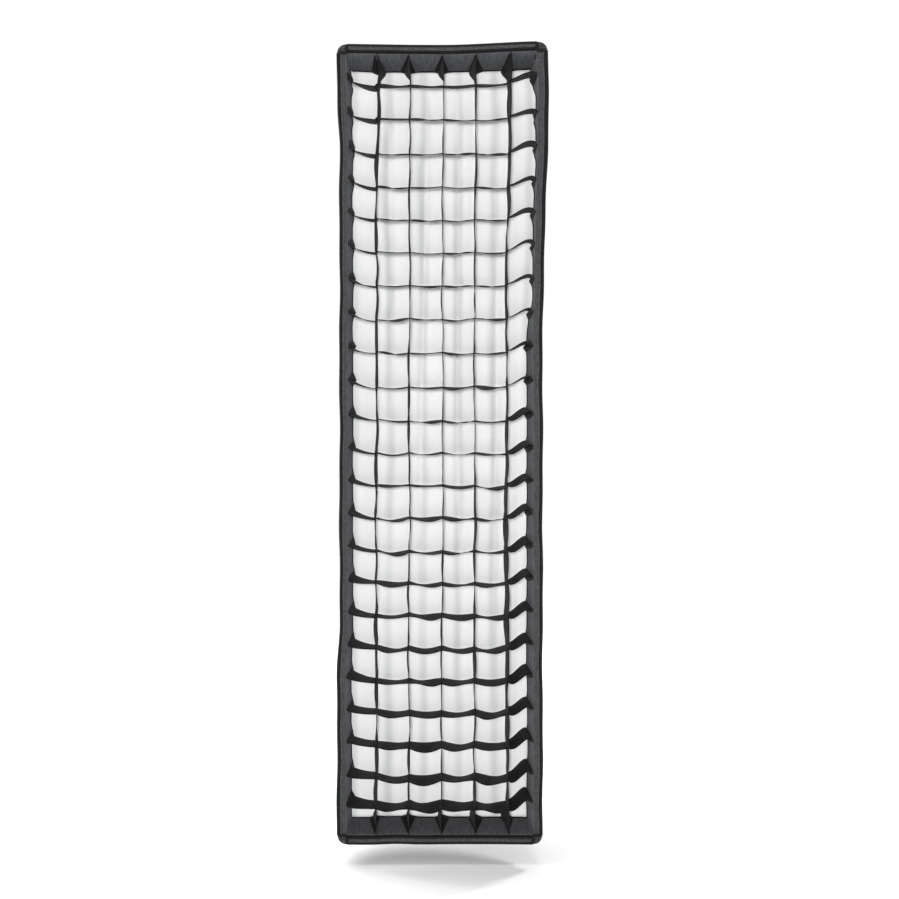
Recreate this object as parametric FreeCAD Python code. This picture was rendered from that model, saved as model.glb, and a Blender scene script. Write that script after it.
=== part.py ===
import FreeCAD
import Part
import math
import os

# Strip softbox with a fabric egg-crate grid.
# Frame: millimetres, +Z along the long side, +X across, +Y towards the light.
# Origin: centre of the rear mating face of the bayonet insert.
# The lit front faces -Y.

# ---------------------------------------------------------------- driving sizes
RIM_HALF_W = 155.0        # outside of the front rim, half width
RIM_HALF_H = 610.0        # outside of the front rim, half height
RIM_Y = -442.0            # front plane of the rim
SEAM_Y = -392.0           # seam between the shell panels and the front lip
SHELL_REAR_Y = -40.0      # rear edge of the shell panels
FABRIC_T = 1.2            # shell cloth

# each bowed panel is an arc through a rear, a middle and a seam point (y, half size)
SIDE_ARC = ((SHELL_REAR_Y, 80.5), (-190.0, 122.0), (SEAM_Y, 148.6))
LONG_ARC = ((SHELL_REAR_Y, 84.0), (-168.0, 381.5), (SEAM_Y, 584.0))
LIP_END_W = 153.6         # outer half width of the lip where it meets the rim
LIP_END_H = 606.0
LIP_FRONT_Y = -434.0
PIPING = 2.2              # bead width of the piping along the corner seams
RIM_BAND = 11.5           # width of the rolled hem seen from the front
RIM_CORNER_R = 10.0

# bayonet insert and speed ring
BORE_R = 49.0
SPIGOT_R = 52.0
SPIGOT_LEN = 9.0
LUG_R = 58.0
LUG_T = 3.0
LUG_ARC_DEG = 42.0
LUG_COUNT = 3
FLANGE_R = 66.0
FLANGE_T = 4.0
JOURNAL_R = 56.0
RING_R = 76.0
RING_FRONT_Y = -26.0
RING_CHAMFER = 2.0
WAIST_DEPTH = 2.5         # turned line round the ring, just behind the collar
WAIST_START = 5.5
WAIST_END = 7.0
RUNNING_GAP = 0.05
END_PLAY = 0.1
RETAINER_R = 59.0
RETAINER_BORE_R = 50.0
RETAINER_T = 3.0
RETAINER_SCREWS = 6
SCREW_R = 1.25
SCREW_HEAD_R = 2.8
SCREW_HEAD_H = 1.6
SCREW_RECESS_R = 2.4
SCREW_SLOT = 0.7          # width and depth of the driver slot
GROOVE_DEPTH = 2.0
GROOVE_WIDTH = 7.0

# lock screw, radial along +X
LOCK_Y = -15.0
LOCK_R = 3.0
LOCK_TIP_GAP = 0.3
LOCK_OUTER_END = 92.0     # outer end of the shank, inside the knob
LOCK_COLLAR_R = 5.0
LOCK_COLLAR_T = 1.5
KNOB_INNER = 82.0
KNOB_OUTER = 99.0
KNOB_R = 9.0
KNOB_FILLET = 1.2
KNOB_FLUTES = 12
FLUTE_R = 1.5
FLUTE_CENTRE_R = 9.6

# rods: a straight stub in the socket, then one circular arc to the corner pocket
ROD_R = 2.25
ROD_START = FreeCAD.Vector(58.5, -50.0, 72.0)
ROD_END = FreeCAD.Vector(147.0, -427.0, 595.0)
ROD_HALF_ANGLE = math.radians(27.0)
ROD_STUB = 24.0
FERRULE_R = 3.0
SOCKET_R = 5.5
SOCKET_LEN = 32.0
FOOT_X = (47.5, 57.0)     # foot that joins a socket to the front of the ring
FOOT_Z = (40.0, 49.5)
FOOT_DROP = 3.0
TIP_R = 3.2
TIP_LEN = 9.0
TIP_OVERLAP = 6.0
POCKET_X = 143.2          # inner corner of the corner pocket
POCKET_Z = 588.0
POCKET_Y = (-433.6, -414.0)

# rear collar
COLLAR_T = 1.6
COLLAR_GAP = 0.3
COLLAR_REACH = 3.0        # how far the sleeve runs over the ring
ELASTIC_T = 2.2
ELASTIC_HALF = 3.0

# front diffuser, inner baffle and grid
DIFFUSER_HALF_W = 136.5
DIFFUSER_HALF_H = 577.5
DIFFUSER_Y = -394.0
DIFFUSER_T = 0.6
HOOK_EDGE = 5.5
HOOK_EDGE_END = 4.7       # narrower at the ends, where the lip leans in more
HOOK_T = 3.2
TAPE_W = 18.0
TAPE_GAP = 0.6
TAPE_REACH_W = 128.0
TAPE_REACH_H = 550.0
BAFFLE_Y = -235.0
BAFFLE_HALF_W = 108.0
BAFFLE_HALF_H = 436.0
BAFFLE_CUT = 30.0
BAFFLE_T = 1.2
BINDING_W = 12.0
BINDING_T = 1.6
STRAP_HALF = 12.5
STRAP_Z = (-360.0, -120.0, 120.0, 360.0)
STRAP_GAP_SIDE = 3.0      # from the end of a strap to the shell
STRAP_GAP_END = 6.0
LOOP_TAB_T = 2.4
LOOP_TAB_END_T = 5.4
LOOP_TAB_HALF = 16.0
LOOP_TAB_Y = (-12.0, 12.0)
LOOP_TAB_END_Y = (-2.0, 8.0)
GRID_FRONT_Y = -440.0
GRID_BACK_Y = -397.0
GRID_PITCH = 50.0
GRID_COLUMNS = 5
GRID_ROWS = 23
STRIP_T = 0.8
SLOT_GAP = 0.2
SLOT_REACH = 2.0          # how far a slot's cutting box reaches past the strip
BAND_T = 1.8
BAND_FRONT = (142.5, 596.5)
BAND_BACK = (136.5, 582.0)

BIG = 900.0
X_AXIS = FreeCAD.Vector(1, 0, 0)
Y_AXIS = FreeCAD.Vector(0, 1, 0)
Z_AXIS = FreeCAD.Vector(0, 0, 1)
ORIGIN = FreeCAD.Vector(0, 0, 0)


# ---------------------------------------------------------------- small helpers
def vec(x, y, z):
    return FreeCAD.Vector(x, y, z)


def box(x0, x1, y0, y1, z0, z1):
    return Part.makeBox(x1 - x0, y1 - y0, z1 - z0, vec(x0, y0, z0))


def disc(radius, y0, y1):
    return Part.makeCylinder(radius, y1 - y0, vec(0, y0, 0), Y_AXIS)


def annulus(r_in, r_out, y0, y1):
    return disc(r_out, y0, y1).cut(disc(r_in, y0 - 1, y1 + 1))


def rod_between(start, direction, length, radius):
    return Part.makeCylinder(radius, length, start, direction)


def mirror_x(shape):
    return shape.mirror(ORIGIN, X_AXIS)


def mirror_z(shape):
    return shape.mirror(ORIGIN, Z_AXIS)


def four_corners(shape):
    """The same piece in the four corners, named as seen from the front."""
    return {
        "top_right": shape,
        "top_left": mirror_x(shape),
        "bottom_right": mirror_z(shape),
        "bottom_left": mirror_z(mirror_x(shape)),
    }


def export(name, shape):
    shape.exportStep("parts/%s.step" % name)


def export_group(name, shapes):
    export(name, Part.makeCompound(list(shapes)))


# ---------------------------------------------------------------- shell outline
def circle_through(points):
    (ay, aw), (by, bw), (cy, cw) = points
    det = 2 * (ay * (bw - cw) + by * (cw - aw) + cy * (aw - bw))
    a2 = ay * ay + aw * aw
    b2 = by * by + bw * bw
    c2 = cy * cy + cw * cw
    y = (a2 * (bw - cw) + b2 * (cw - aw) + c2 * (aw - bw)) / det
    w = (a2 * (cy - by) + b2 * (ay - cy) + c2 * (by - ay)) / det
    return y, w, math.hypot(ay - y, aw - w)


def half_size(arc, y, inset):
    centre_y, centre_w, radius = circle_through(arc)
    return centre_w + math.sqrt((radius - inset) ** 2 - (y - centre_y) ** 2)


def place(axis, y, w):
    """A point at depth y and half size w, across X or across Z."""
    if axis == "x":
        return vec(w, y, 0)
    return vec(0, y, w)


def extrude_both(face, axis):
    other = Z_AXIS if axis == "x" else X_AXIS
    face.translate(other * -BIG)
    return face.extrude(other * (2 * BIG))


def bowed_region(arc, axis, inset):
    """Everything inside the two opposite bowed panels, endless the other way."""
    middle_y = (SHELL_REAR_Y + SEAM_Y) / 2
    depths = (SHELL_REAR_Y, middle_y, SEAM_Y)
    upper = [place(axis, y, half_size(arc, y, inset)) for y in depths]
    lower = [place(axis, y, -half_size(arc, y, inset)) for y in depths]
    edges = [
        Part.Arc(upper[0], upper[1], upper[2]).toShape(),
        Part.LineSegment(upper[2], lower[2]).toShape(),
        Part.Arc(lower[2], lower[1], lower[0]).toShape(),
        Part.LineSegment(lower[0], upper[0]).toShape(),
    ]
    return extrude_both(Part.Face(Part.Wire(edges)), axis)


def lip_region(arc, axis, end, inset, front_y):
    seam = half_size(arc, SEAM_Y, inset)
    slope = (end - half_size(arc, SEAM_Y, 0)) / (LIP_FRONT_Y - SEAM_Y)
    front = seam + slope * (front_y - SEAM_Y)
    points = [
        place(axis, SEAM_Y, seam),
        place(axis, front_y, front),
        place(axis, front_y, -front),
        place(axis, SEAM_Y, -seam),
        place(axis, SEAM_Y, seam),
    ]
    return extrude_both(Part.Face(Part.makePolygon(points)), axis)


def upper_half(shape):
    return shape.common(box(-BIG, BIG, -BIG, BIG, 1, BIG))


def right_half(shape):
    return shape.common(box(1, BIG, -BIG, BIG, -BIG, BIG))


def wall_pair(side_out, side_in, long_out, long_in):
    """One long-end wall at the top and one side wall at the right."""
    top = upper_half(long_out.cut(long_in)).common(side_out)
    right = right_half(side_out.cut(side_in)).common(long_in)
    return top, right


def export_four_walls(stem, top, right):
    export(stem + "_top", top)
    export(stem + "_bottom", mirror_z(top))
    export(stem + "_right", right)
    export(stem + "_left", mirror_x(right))


# ---------------------------------------------------------------- speed ring
def mount_insert():
    front_y = RING_FRONT_Y - 2 * END_PLAY
    body = disc(SPIGOT_R, 0, SPIGOT_LEN)
    body = body.fuse(disc(FLANGE_R, -FLANGE_T, 0))
    body = body.fuse(disc(JOURNAL_R, front_y, -FLANGE_T))
    lug_ring = annulus(SPIGOT_R - 1, LUG_R, SPIGOT_LEN - LUG_T, SPIGOT_LEN)
    wedge = Part.makeCylinder(BIG / 2, SPIGOT_LEN, ORIGIN, Y_AXIS, LUG_ARC_DEG)
    lug = lug_ring.common(wedge)
    for index in range(LUG_COUNT):
        turned = lug.copy()
        turned.rotate(ORIGIN, Y_AXIS, index * 360.0 / LUG_COUNT)
        body = body.fuse(turned)
    groove_r = JOURNAL_R - GROOVE_DEPTH
    half = GROOVE_WIDTH / 2
    body = body.cut(annulus(groove_r, JOURNAL_R + 1, LOCK_Y - half, LOCK_Y + half))
    body = body.cut(disc(BORE_R, front_y - 1, SPIGOT_LEN + 1))
    for point in retainer_points(front_y):
        body = body.cut(rod_between(point, Y_AXIS, RETAINER_T * 3, SCREW_R))
    return body.removeSplitter()


def retainer_points(y):
    radius = (BORE_R + JOURNAL_R) / 2 + 0.5
    angles = [2 * math.pi * (k + 0.5) / RETAINER_SCREWS for k in range(RETAINER_SCREWS)]
    return [vec(radius * math.cos(a), y, radius * math.sin(a)) for a in angles]


def retainer_screw(point, face_y):
    centre = vec(point.x, face_y, point.z)
    head = Part.makeCone(SCREW_HEAD_R, SCREW_R, SCREW_HEAD_H, centre, Y_AXIS)
    shank = rod_between(centre, Y_AXIS, RETAINER_T * 3, SCREW_R)
    half = SCREW_SLOT / 2
    reach = SCREW_HEAD_R - 0.6
    slot = box(-reach, reach, -1, SCREW_SLOT, -half, half)
    slot.translate(centre)
    return head.fuse(shank).cut(slot)


def retaining_ring_and_screws():
    back_y = RING_FRONT_Y - 2 * END_PLAY
    front_y = back_y - RETAINER_T
    ring = annulus(RETAINER_BORE_R, RETAINER_R, front_y, back_y)
    screws = []
    for point in retainer_points(front_y):
        screw = retainer_screw(point, front_y)
        recess = rod_between(point - Y_AXIS, Y_AXIS, 1 + SCREW_SLOT, SCREW_RECESS_R)
        ring = ring.cut(screw).cut(recess)
        screws.append(screw)
    return ring, screws


def speedring_body():
    rear_y = -FLANGE_T - END_PLAY
    ring = annulus(JOURNAL_R + RUNNING_GAP, RING_R, RING_FRONT_Y, rear_y)
    circles = [e for e in ring.Edges if e.Curve.TypeId == "Part::GeomCircle"]
    outer = [e for e in circles if e.Curve.Radius > RING_R - 1]
    ring = ring.makeChamfer(RING_CHAMFER, outer)
    waist_start = RING_FRONT_Y + WAIST_START
    waist_end = RING_FRONT_Y + WAIST_END
    waist = annulus(RING_R - WAIST_DEPTH, RING_R + 1, waist_start, waist_end)
    lock_bore = rod_between(vec(JOURNAL_R - 4, LOCK_Y, 0), X_AXIS, RING_R, LOCK_R + RUNNING_GAP)
    return ring.cut(waist).cut(lock_bore)


def lock_screw():
    tip = JOURNAL_R - GROOVE_DEPTH + LOCK_TIP_GAP
    shank = rod_between(vec(tip, LOCK_Y, 0), X_AXIS, LOCK_OUTER_END - tip, LOCK_R)
    collar_x = KNOB_INNER - END_PLAY - LOCK_COLLAR_T
    collar = rod_between(vec(collar_x, LOCK_Y, 0), X_AXIS, LOCK_COLLAR_T, LOCK_COLLAR_R)
    return shank.fuse(collar)


def lock_knob():
    knob = rod_between(vec(KNOB_INNER, LOCK_Y, 0), X_AXIS, KNOB_OUTER - KNOB_INNER, KNOB_R)
    rims = [e for e in knob.Edges if e.Curve.TypeId == "Part::GeomCircle"]
    knob = knob.makeFillet(KNOB_FILLET, rims)
    for index in range(KNOB_FLUTES):
        angle = 2 * math.pi * index / KNOB_FLUTES
        y = LOCK_Y + FLUTE_CENTRE_R * math.cos(angle)
        z = FLUTE_CENTRE_R * math.sin(angle)
        knob = knob.cut(rod_between(vec(KNOB_INNER - 1, y, z), X_AXIS, KNOB_OUTER, FLUTE_R))
    hole_start = vec(KNOB_INNER - 1, LOCK_Y, 0)
    hole_end = LOCK_OUTER_END + 2 * END_PLAY
    hole = rod_between(hole_start, X_AXIS, hole_end - hole_start.x, LOCK_R + RUNNING_GAP)
    return knob.cut(hole)


# ---------------------------------------------------------------- rods
def rod_path():
    """Centre line facts: direction at each end and a point in the middle."""
    chord = ROD_END - ROD_START
    length = chord.Length
    along = chord / length
    outward = Y_AXIS - along * along.dot(Y_AXIS)
    outward.normalize()
    radius = length / 2 / math.sin(ROD_HALF_ANGLE)
    sag = radius * (1 - math.cos(ROD_HALF_ANGLE))
    middle = (ROD_START + ROD_END) / 2 + outward * sag
    cos_a = math.cos(ROD_HALF_ANGLE)
    sin_a = math.sin(ROD_HALF_ANGLE)
    first = along * cos_a + outward * sin_a
    last = along * cos_a - outward * sin_a
    return first, middle, last


def rod(first, middle):
    stub_start = ROD_START - first * ROD_STUB
    arc = Part.Arc(ROD_START, middle, ROD_END).toShape()
    stub = Part.LineSegment(stub_start, ROD_START).toShape()
    path = Part.Wire([stub, arc])
    ring = Part.Wire([Part.Circle(stub_start, first, ROD_R).toShape()])
    return path.makePipeShell([ring], True, False)


def ferrule(first, rod_solid):
    sleeve = rod_between(ROD_START - first * ROD_STUB, first, ROD_STUB - 2, FERRULE_R)
    return sleeve.cut(rod_solid)


def rod_socket(first):
    barrel = rod_between(ROD_START - first * SOCKET_LEN, first, SOCKET_LEN, SOCKET_R)
    foot = box(FOOT_X[0], FOOT_X[1], ROD_START.y + FOOT_DROP, RING_FRONT_Y, FOOT_Z[0], FOOT_Z[1])
    bore = rod_between(ROD_START - first * ROD_STUB, first, ROD_STUB + 1, FERRULE_R + RUNNING_GAP)
    return barrel.fuse(foot).removeSplitter().cut(bore)


def rod_tip(last, rod_solid):
    cap = rod_between(ROD_END - last * TIP_OVERLAP, last, TIP_LEN, TIP_R)
    return cap.cut(rod_solid)


def corner_pocket(inside, tip_solid, rod_solid):
    block = box(POCKET_X, RIM_HALF_W, POCKET_Y[0], POCKET_Y[1], POCKET_Z, RIM_HALF_H)
    return block.common(inside).cut(tip_solid).cut(rod_solid)


# ---------------------------------------------------------------- rim and collar
def rim_bindings():
    """Rolled hem around the front: long bars left and right, short bars between."""
    outline = box(-RIM_HALF_W, RIM_HALF_W, RIM_Y, LIP_FRONT_Y, -RIM_HALF_H, RIM_HALF_H)
    corners = [e for e in outline.Edges if abs(e.Vertexes[0].Y - e.Vertexes[1].Y) > 1]
    outline = outline.makeFillet(RIM_CORNER_R, corners)
    inner_w = RIM_HALF_W - RIM_BAND
    inner_h = RIM_HALF_H - RIM_BAND
    frame = outline.cut(box(-inner_w, inner_w, RIM_Y - 1, 0, -inner_h, inner_h))
    top = frame.common(box(-BIG, BIG, -BIG, BIG, inner_h, BIG))
    right = frame.common(box(inner_w, BIG, -BIG, BIG, -inner_h, inner_h))
    return top, right


def rear_collar():
    half_w = half_size(SIDE_ARC, SHELL_REAR_Y, 0)
    half_h = half_size(LONG_ARC, SHELL_REAR_Y, 0)
    inner_r = RING_R + COLLAR_GAP
    plate = box(-half_w, half_w, SHELL_REAR_Y, SHELL_REAR_Y + COLLAR_T, -half_h, half_h)
    sleeve = disc(inner_r + COLLAR_T, SHELL_REAR_Y, RING_FRONT_Y + COLLAR_REACH)
    return plate.fuse(sleeve).cut(disc(inner_r, SHELL_REAR_Y - 1, 0)).removeSplitter()


def collar_elastic():
    r_in = RING_R + COLLAR_GAP + COLLAR_T
    r_out = r_in + ELASTIC_T
    return annulus(r_in, r_out, RING_FRONT_Y - ELASTIC_HALF, RING_FRONT_Y + ELASTIC_HALF)


def loop_tapes(inside):
    """Loop strips across the lip seam that hold the front diffuser."""
    edge_w = DIFFUSER_HALF_W + HOOK_EDGE + TAPE_GAP
    edge_h = DIFFUSER_HALF_H + HOOK_EDGE + TAPE_GAP
    y0 = DIFFUSER_Y - TAPE_W / 4
    y1 = y0 + TAPE_W
    side = box(edge_w, BIG, y0, y1, -TAPE_REACH_H, TAPE_REACH_H).common(inside)
    top = box(-TAPE_REACH_W, TAPE_REACH_W, y0, y1, edge_h, BIG).common(inside)
    return [side, mirror_x(side), top, mirror_z(top)]


# ---------------------------------------------------------------- diffusers
def hook_border():
    w = DIFFUSER_HALF_W
    h = DIFFUSER_HALF_H
    y0 = DIFFUSER_Y - HOOK_T / 2
    y1 = DIFFUSER_Y + HOOK_T / 2
    side = box(w, w + HOOK_EDGE, y0, y1, -TAPE_REACH_H, TAPE_REACH_H)
    top = box(-TAPE_REACH_W, TAPE_REACH_W, y0, y1, h, h + HOOK_EDGE_END)
    return [side, mirror_x(side), top, mirror_z(top)]


def front_diffuser():
    w = DIFFUSER_HALF_W
    h = DIFFUSER_HALF_H
    return box(-w, w, DIFFUSER_Y - DIFFUSER_T / 2, DIFFUSER_Y + DIFFUSER_T / 2, -h, h)


def cut_corner_outline(half_w, half_h, cut, y):
    quarter = [(half_w, half_h - cut), (half_w - cut, half_h)]
    points = [vec(x, y, z) for x, z in quarter]
    points += [vec(-x, y, z) for x, z in reversed(quarter)]
    points += [vec(-x, y, -z) for x, z in quarter]
    points += [vec(x, y, -z) for x, z in reversed(quarter)]
    return Part.Face(Part.makePolygon(points + points[:1]))


def inner_baffle():
    front_y = BAFFLE_Y - BAFFLE_T / 2
    outline = cut_corner_outline(BAFFLE_HALF_W, BAFFLE_HALF_H, BAFFLE_CUT, front_y)
    return outline.extrude(Y_AXIS * BAFFLE_T)


def baffle_binding():
    """Bias tape sewn along the four straight edges, on the front of the baffle."""
    y1 = BAFFLE_Y - BAFFLE_T / 2
    y0 = y1 - BINDING_T
    reach_w = BAFFLE_HALF_W - BAFFLE_CUT
    reach_h = BAFFLE_HALF_H - BAFFLE_CUT
    side = box(BAFFLE_HALF_W - BINDING_W, BAFFLE_HALF_W, y0, y1, -reach_h, reach_h)
    top = box(-reach_w, reach_w, y0, y1, BAFFLE_HALF_H - BINDING_W, BAFFLE_HALF_H)
    return [side, mirror_x(side), top, mirror_z(top)]


def baffle_straps():
    """Four straps a side and one at each end, out to the loop tabs."""
    reach_w = half_size(SIDE_ARC, BAFFLE_Y, FABRIC_T) - STRAP_GAP_SIDE
    reach_h = half_size(LONG_ARC, BAFFLE_Y, FABRIC_T) - STRAP_GAP_END
    y0 = BAFFLE_Y - BAFFLE_T / 2
    y1 = BAFFLE_Y + BAFFLE_T / 2
    straps = []
    for z in STRAP_Z:
        right = box(BAFFLE_HALF_W, reach_w, y0, y1, z - STRAP_HALF, z + STRAP_HALF)
        straps += [right, mirror_x(right)]
    top = box(-STRAP_HALF, STRAP_HALF, y0, y1, BAFFLE_HALF_H, reach_h)
    return straps + [top, mirror_z(top)]


def baffle_loop_tabs(inside):
    """Loop tabs sewn to the inside of the shell, one for each strap."""
    reach_w = half_size(SIDE_ARC, BAFFLE_Y, FABRIC_T) - LOOP_TAB_T
    reach_h = half_size(LONG_ARC, BAFFLE_Y, FABRIC_T) - LOOP_TAB_END_T
    half = LOOP_TAB_HALF
    y0, y1 = (BAFFLE_Y + offset for offset in LOOP_TAB_Y)
    end_y0, end_y1 = (BAFFLE_Y + offset for offset in LOOP_TAB_END_Y)
    tabs = []
    for z in STRAP_Z:
        right = box(reach_w, BIG, y0, y1, z - half, z + half).common(inside)
        tabs += [right, mirror_x(right)]
    top = box(-half, half, end_y0, end_y1, reach_h, BIG).common(inside)
    return tabs + [top, mirror_z(top)]


# ---------------------------------------------------------------- grid
def tapered_wall(axis, front, back, thickness):
    """A slanting wall, endless along its length, with its outside at front and back."""
    points = [
        place(axis, GRID_FRONT_Y, front),
        place(axis, GRID_FRONT_Y, front - thickness),
        place(axis, GRID_BACK_Y, back - thickness),
        place(axis, GRID_BACK_Y, back),
        place(axis, GRID_FRONT_Y, front),
    ]
    return extrude_both(Part.Face(Part.makePolygon(points)), axis)


def tapered_core(inset):
    """The space inside the border band, inset from its outside by a distance."""
    sides = []
    for axis, index in (("x", 0), ("z", 1)):
        front = BAND_FRONT[index] - inset
        back = BAND_BACK[index] - inset
        points = [
            place(axis, GRID_FRONT_Y, front),
            place(axis, GRID_FRONT_Y, -front),
            place(axis, GRID_BACK_Y, -back),
            place(axis, GRID_BACK_Y, back),
            place(axis, GRID_FRONT_Y, front),
        ]
        sides.append(extrude_both(Part.Face(Part.makePolygon(points)), axis))
    return sides[0].common(sides[1])


def grid_bands():
    core = tapered_core(0)
    side = tapered_wall("x", BAND_FRONT[0], BAND_BACK[0], BAND_T).common(core)
    top = tapered_wall("z", BAND_FRONT[1], BAND_BACK[1], BAND_T).common(core)
    return top.cut(side).cut(mirror_x(side)), side


def column_places():
    return [GRID_PITCH * (k - (GRID_COLUMNS - 1) / 2) for k in range(GRID_COLUMNS)]


def row_places():
    return [GRID_PITCH * (k - (GRID_ROWS - 1) / 2) for k in range(GRID_ROWS)]


def grid_vertical(x, core):
    half = STRIP_T / 2
    middle = (GRID_FRONT_Y + GRID_BACK_Y) / 2
    strip = box(x - half, x + half, GRID_FRONT_Y, GRID_BACK_Y, -BIG, BIG).common(core)
    slot = half + SLOT_GAP / 2
    x0 = x - SLOT_REACH
    x1 = x + SLOT_REACH
    slots = [box(x0, x1, GRID_FRONT_Y - 1, middle, z - slot, z + slot) for z in row_places()]
    return strip.cut(Part.makeCompound(slots))


def grid_cross_strip(z, core):
    half = STRIP_T / 2
    middle = (GRID_FRONT_Y + GRID_BACK_Y) / 2
    strip = box(-BIG, BIG, GRID_FRONT_Y, GRID_BACK_Y, z - half, z + half).common(core)
    slot = half + SLOT_GAP / 2
    z0 = z - SLOT_REACH
    z1 = z + SLOT_REACH
    slots = [box(x - slot, x + slot, middle, GRID_BACK_Y + 1, z0, z1) for x in column_places()]
    return strip.cut(Part.makeCompound(slots))


# ---------------------------------------------------------------- build
def build_speedring():
    export("mount_insert", mount_insert())
    ring, screws = retaining_ring_and_screws()
    export("retaining_ring", ring)
    export_group("retaining_screws", screws)
    export("speedring_body", speedring_body())
    export("lock_screw", lock_screw())
    export("lock_knob", lock_knob())


def build_rods(inside_lip):
    first, middle, last = rod_path()
    rod_solid = rod(first, middle)
    tip = rod_tip(last, rod_solid)
    pocket = corner_pocket(inside_lip, tip, rod_solid)
    for corner, shape in four_corners(rod_socket(first)).items():
        export("rod_socket_" + corner, shape)
    for corner, shape in four_corners(rod_solid).items():
        export("rod_" + corner, shape)
    for corner, shape in four_corners(pocket).items():
        export("corner_pocket_" + corner, shape)
    export_group("rod_ferrules", four_corners(ferrule(first, rod_solid)).values())
    export_group("rod_tips", four_corners(tip).values())


def build_shell(inside_shell, inside_lip):
    side_out = bowed_region(SIDE_ARC, "x", 0)
    side_in = bowed_region(SIDE_ARC, "x", FABRIC_T)
    long_out = bowed_region(LONG_ARC, "z", 0)
    long_in = bowed_region(LONG_ARC, "z", FABRIC_T)
    export_four_walls("shell_panel", *wall_pair(side_out, side_in, long_out, long_in))
    long_proud = bowed_region(LONG_ARC, "z", -PIPING)
    side_proud = bowed_region(SIDE_ARC, "x", -PIPING)
    side_edge = bowed_region(SIDE_ARC, "x", PIPING)
    piping = right_half(upper_half(long_proud.cut(long_out))).common(side_proud).cut(side_edge)
    for corner, shape in four_corners(piping).items():
        export("seam_piping_" + corner, shape)
    lip = [
        lip_region(SIDE_ARC, "x", LIP_END_W, 0, LIP_FRONT_Y),
        lip_region(SIDE_ARC, "x", LIP_END_W, FABRIC_T, LIP_FRONT_Y),
        lip_region(LONG_ARC, "z", LIP_END_H, 0, LIP_FRONT_Y),
        lip_region(LONG_ARC, "z", LIP_END_H, FABRIC_T, LIP_FRONT_Y),
    ]
    export_four_walls("front_lip", *wall_pair(*lip))
    export_four_walls("rim_binding", *rim_bindings())
    export("rear_collar", rear_collar())
    export("collar_elastic", collar_elastic())
    export_group("lip_loop_tapes", loop_tapes(inside_shell.fuse(inside_lip).removeSplitter()))
    export_group("baffle_loop_tabs", baffle_loop_tabs(inside_shell))


def build_diffusers():
    export("front_diffuser", front_diffuser())
    export_group("diffuser_hook_border", hook_border())
    export("inner_baffle", inner_baffle())
    export_group("baffle_binding", baffle_binding())
    export_group("baffle_straps", baffle_straps())


def build_grid():
    export_four_walls("grid_band", *grid_bands())
    core = tapered_core(BAND_T)
    for number, x in enumerate(column_places(), 1):
        export("grid_vertical_%d" % number, grid_vertical(x, core))
    export_group("grid_cross_strips", [grid_cross_strip(z, core) for z in row_places()])


def main():
    os.makedirs("parts", exist_ok=True)
    inside_shell = bowed_region(SIDE_ARC, "x", FABRIC_T).common(bowed_region(LONG_ARC, "z", FABRIC_T))
    inside_lip = lip_region(SIDE_ARC, "x", LIP_END_W, FABRIC_T, LIP_FRONT_Y)
    inside_lip = inside_lip.common(lip_region(LONG_ARC, "z", LIP_END_H, FABRIC_T, LIP_FRONT_Y))
    build_speedring()
    build_rods(inside_lip)
    build_shell(inside_shell, inside_lip)
    build_diffusers()
    build_grid()


main()
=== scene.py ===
import math
import random

import bpy
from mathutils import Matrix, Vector, noise


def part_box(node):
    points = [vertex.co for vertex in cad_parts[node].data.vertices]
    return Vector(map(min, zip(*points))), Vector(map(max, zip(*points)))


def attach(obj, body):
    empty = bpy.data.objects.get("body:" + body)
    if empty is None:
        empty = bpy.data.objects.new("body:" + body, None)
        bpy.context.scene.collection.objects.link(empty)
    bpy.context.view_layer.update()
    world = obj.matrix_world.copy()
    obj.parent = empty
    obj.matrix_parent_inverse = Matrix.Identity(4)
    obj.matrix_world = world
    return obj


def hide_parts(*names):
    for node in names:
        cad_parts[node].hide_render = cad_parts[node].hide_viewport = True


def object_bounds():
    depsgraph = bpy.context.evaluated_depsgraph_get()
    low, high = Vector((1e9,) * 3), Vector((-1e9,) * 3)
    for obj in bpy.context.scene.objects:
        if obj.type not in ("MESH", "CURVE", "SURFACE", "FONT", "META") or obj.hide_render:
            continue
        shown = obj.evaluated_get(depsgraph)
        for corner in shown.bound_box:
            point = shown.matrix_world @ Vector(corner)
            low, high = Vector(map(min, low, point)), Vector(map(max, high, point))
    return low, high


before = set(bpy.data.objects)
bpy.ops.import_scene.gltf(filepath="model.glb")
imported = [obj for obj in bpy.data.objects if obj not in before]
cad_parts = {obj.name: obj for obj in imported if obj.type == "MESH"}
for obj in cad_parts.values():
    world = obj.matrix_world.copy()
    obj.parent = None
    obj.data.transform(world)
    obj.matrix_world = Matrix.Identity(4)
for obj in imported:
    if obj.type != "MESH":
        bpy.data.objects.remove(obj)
cad_low, cad_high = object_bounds()

# Strip softbox: metres, +Z along the long side, +X across, +Y towards the light, lit front at -Y.
MM = 0.001

# ---- places read from the frame
RIM_HALF_W = cad_high.x
RIM_HALF_H = cad_high.z
RIM_Y = cad_low.y
HEM_BACK_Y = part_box("rim_binding_right")[1].y
SEAM_Y, REAR_Y = (corner.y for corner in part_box("shell_panel_right"))
LIP_HALF_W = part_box("front_lip_right")[1].x
LIP_HALF_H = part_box("front_lip_top")[1].z
GRID_FRONT_Y, GRID_BACK_Y = (corner.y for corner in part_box("grid_band_right"))
BAND_HALF_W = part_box("grid_band_right")[1].x
BAND_HALF_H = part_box("grid_band_top")[1].z
DIFFUSER_Y = sum(corner.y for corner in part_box("front_diffuser")) / 2
DIFFUSER_HALF_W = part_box("diffuser_hook_border")[1].x
DIFFUSER_HALF_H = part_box("diffuser_hook_border")[1].z
BAFFLE_Y = sum(corner.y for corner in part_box("inner_baffle")) / 2
BAFFLE_HALF_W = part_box("inner_baffle")[1].x
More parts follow.
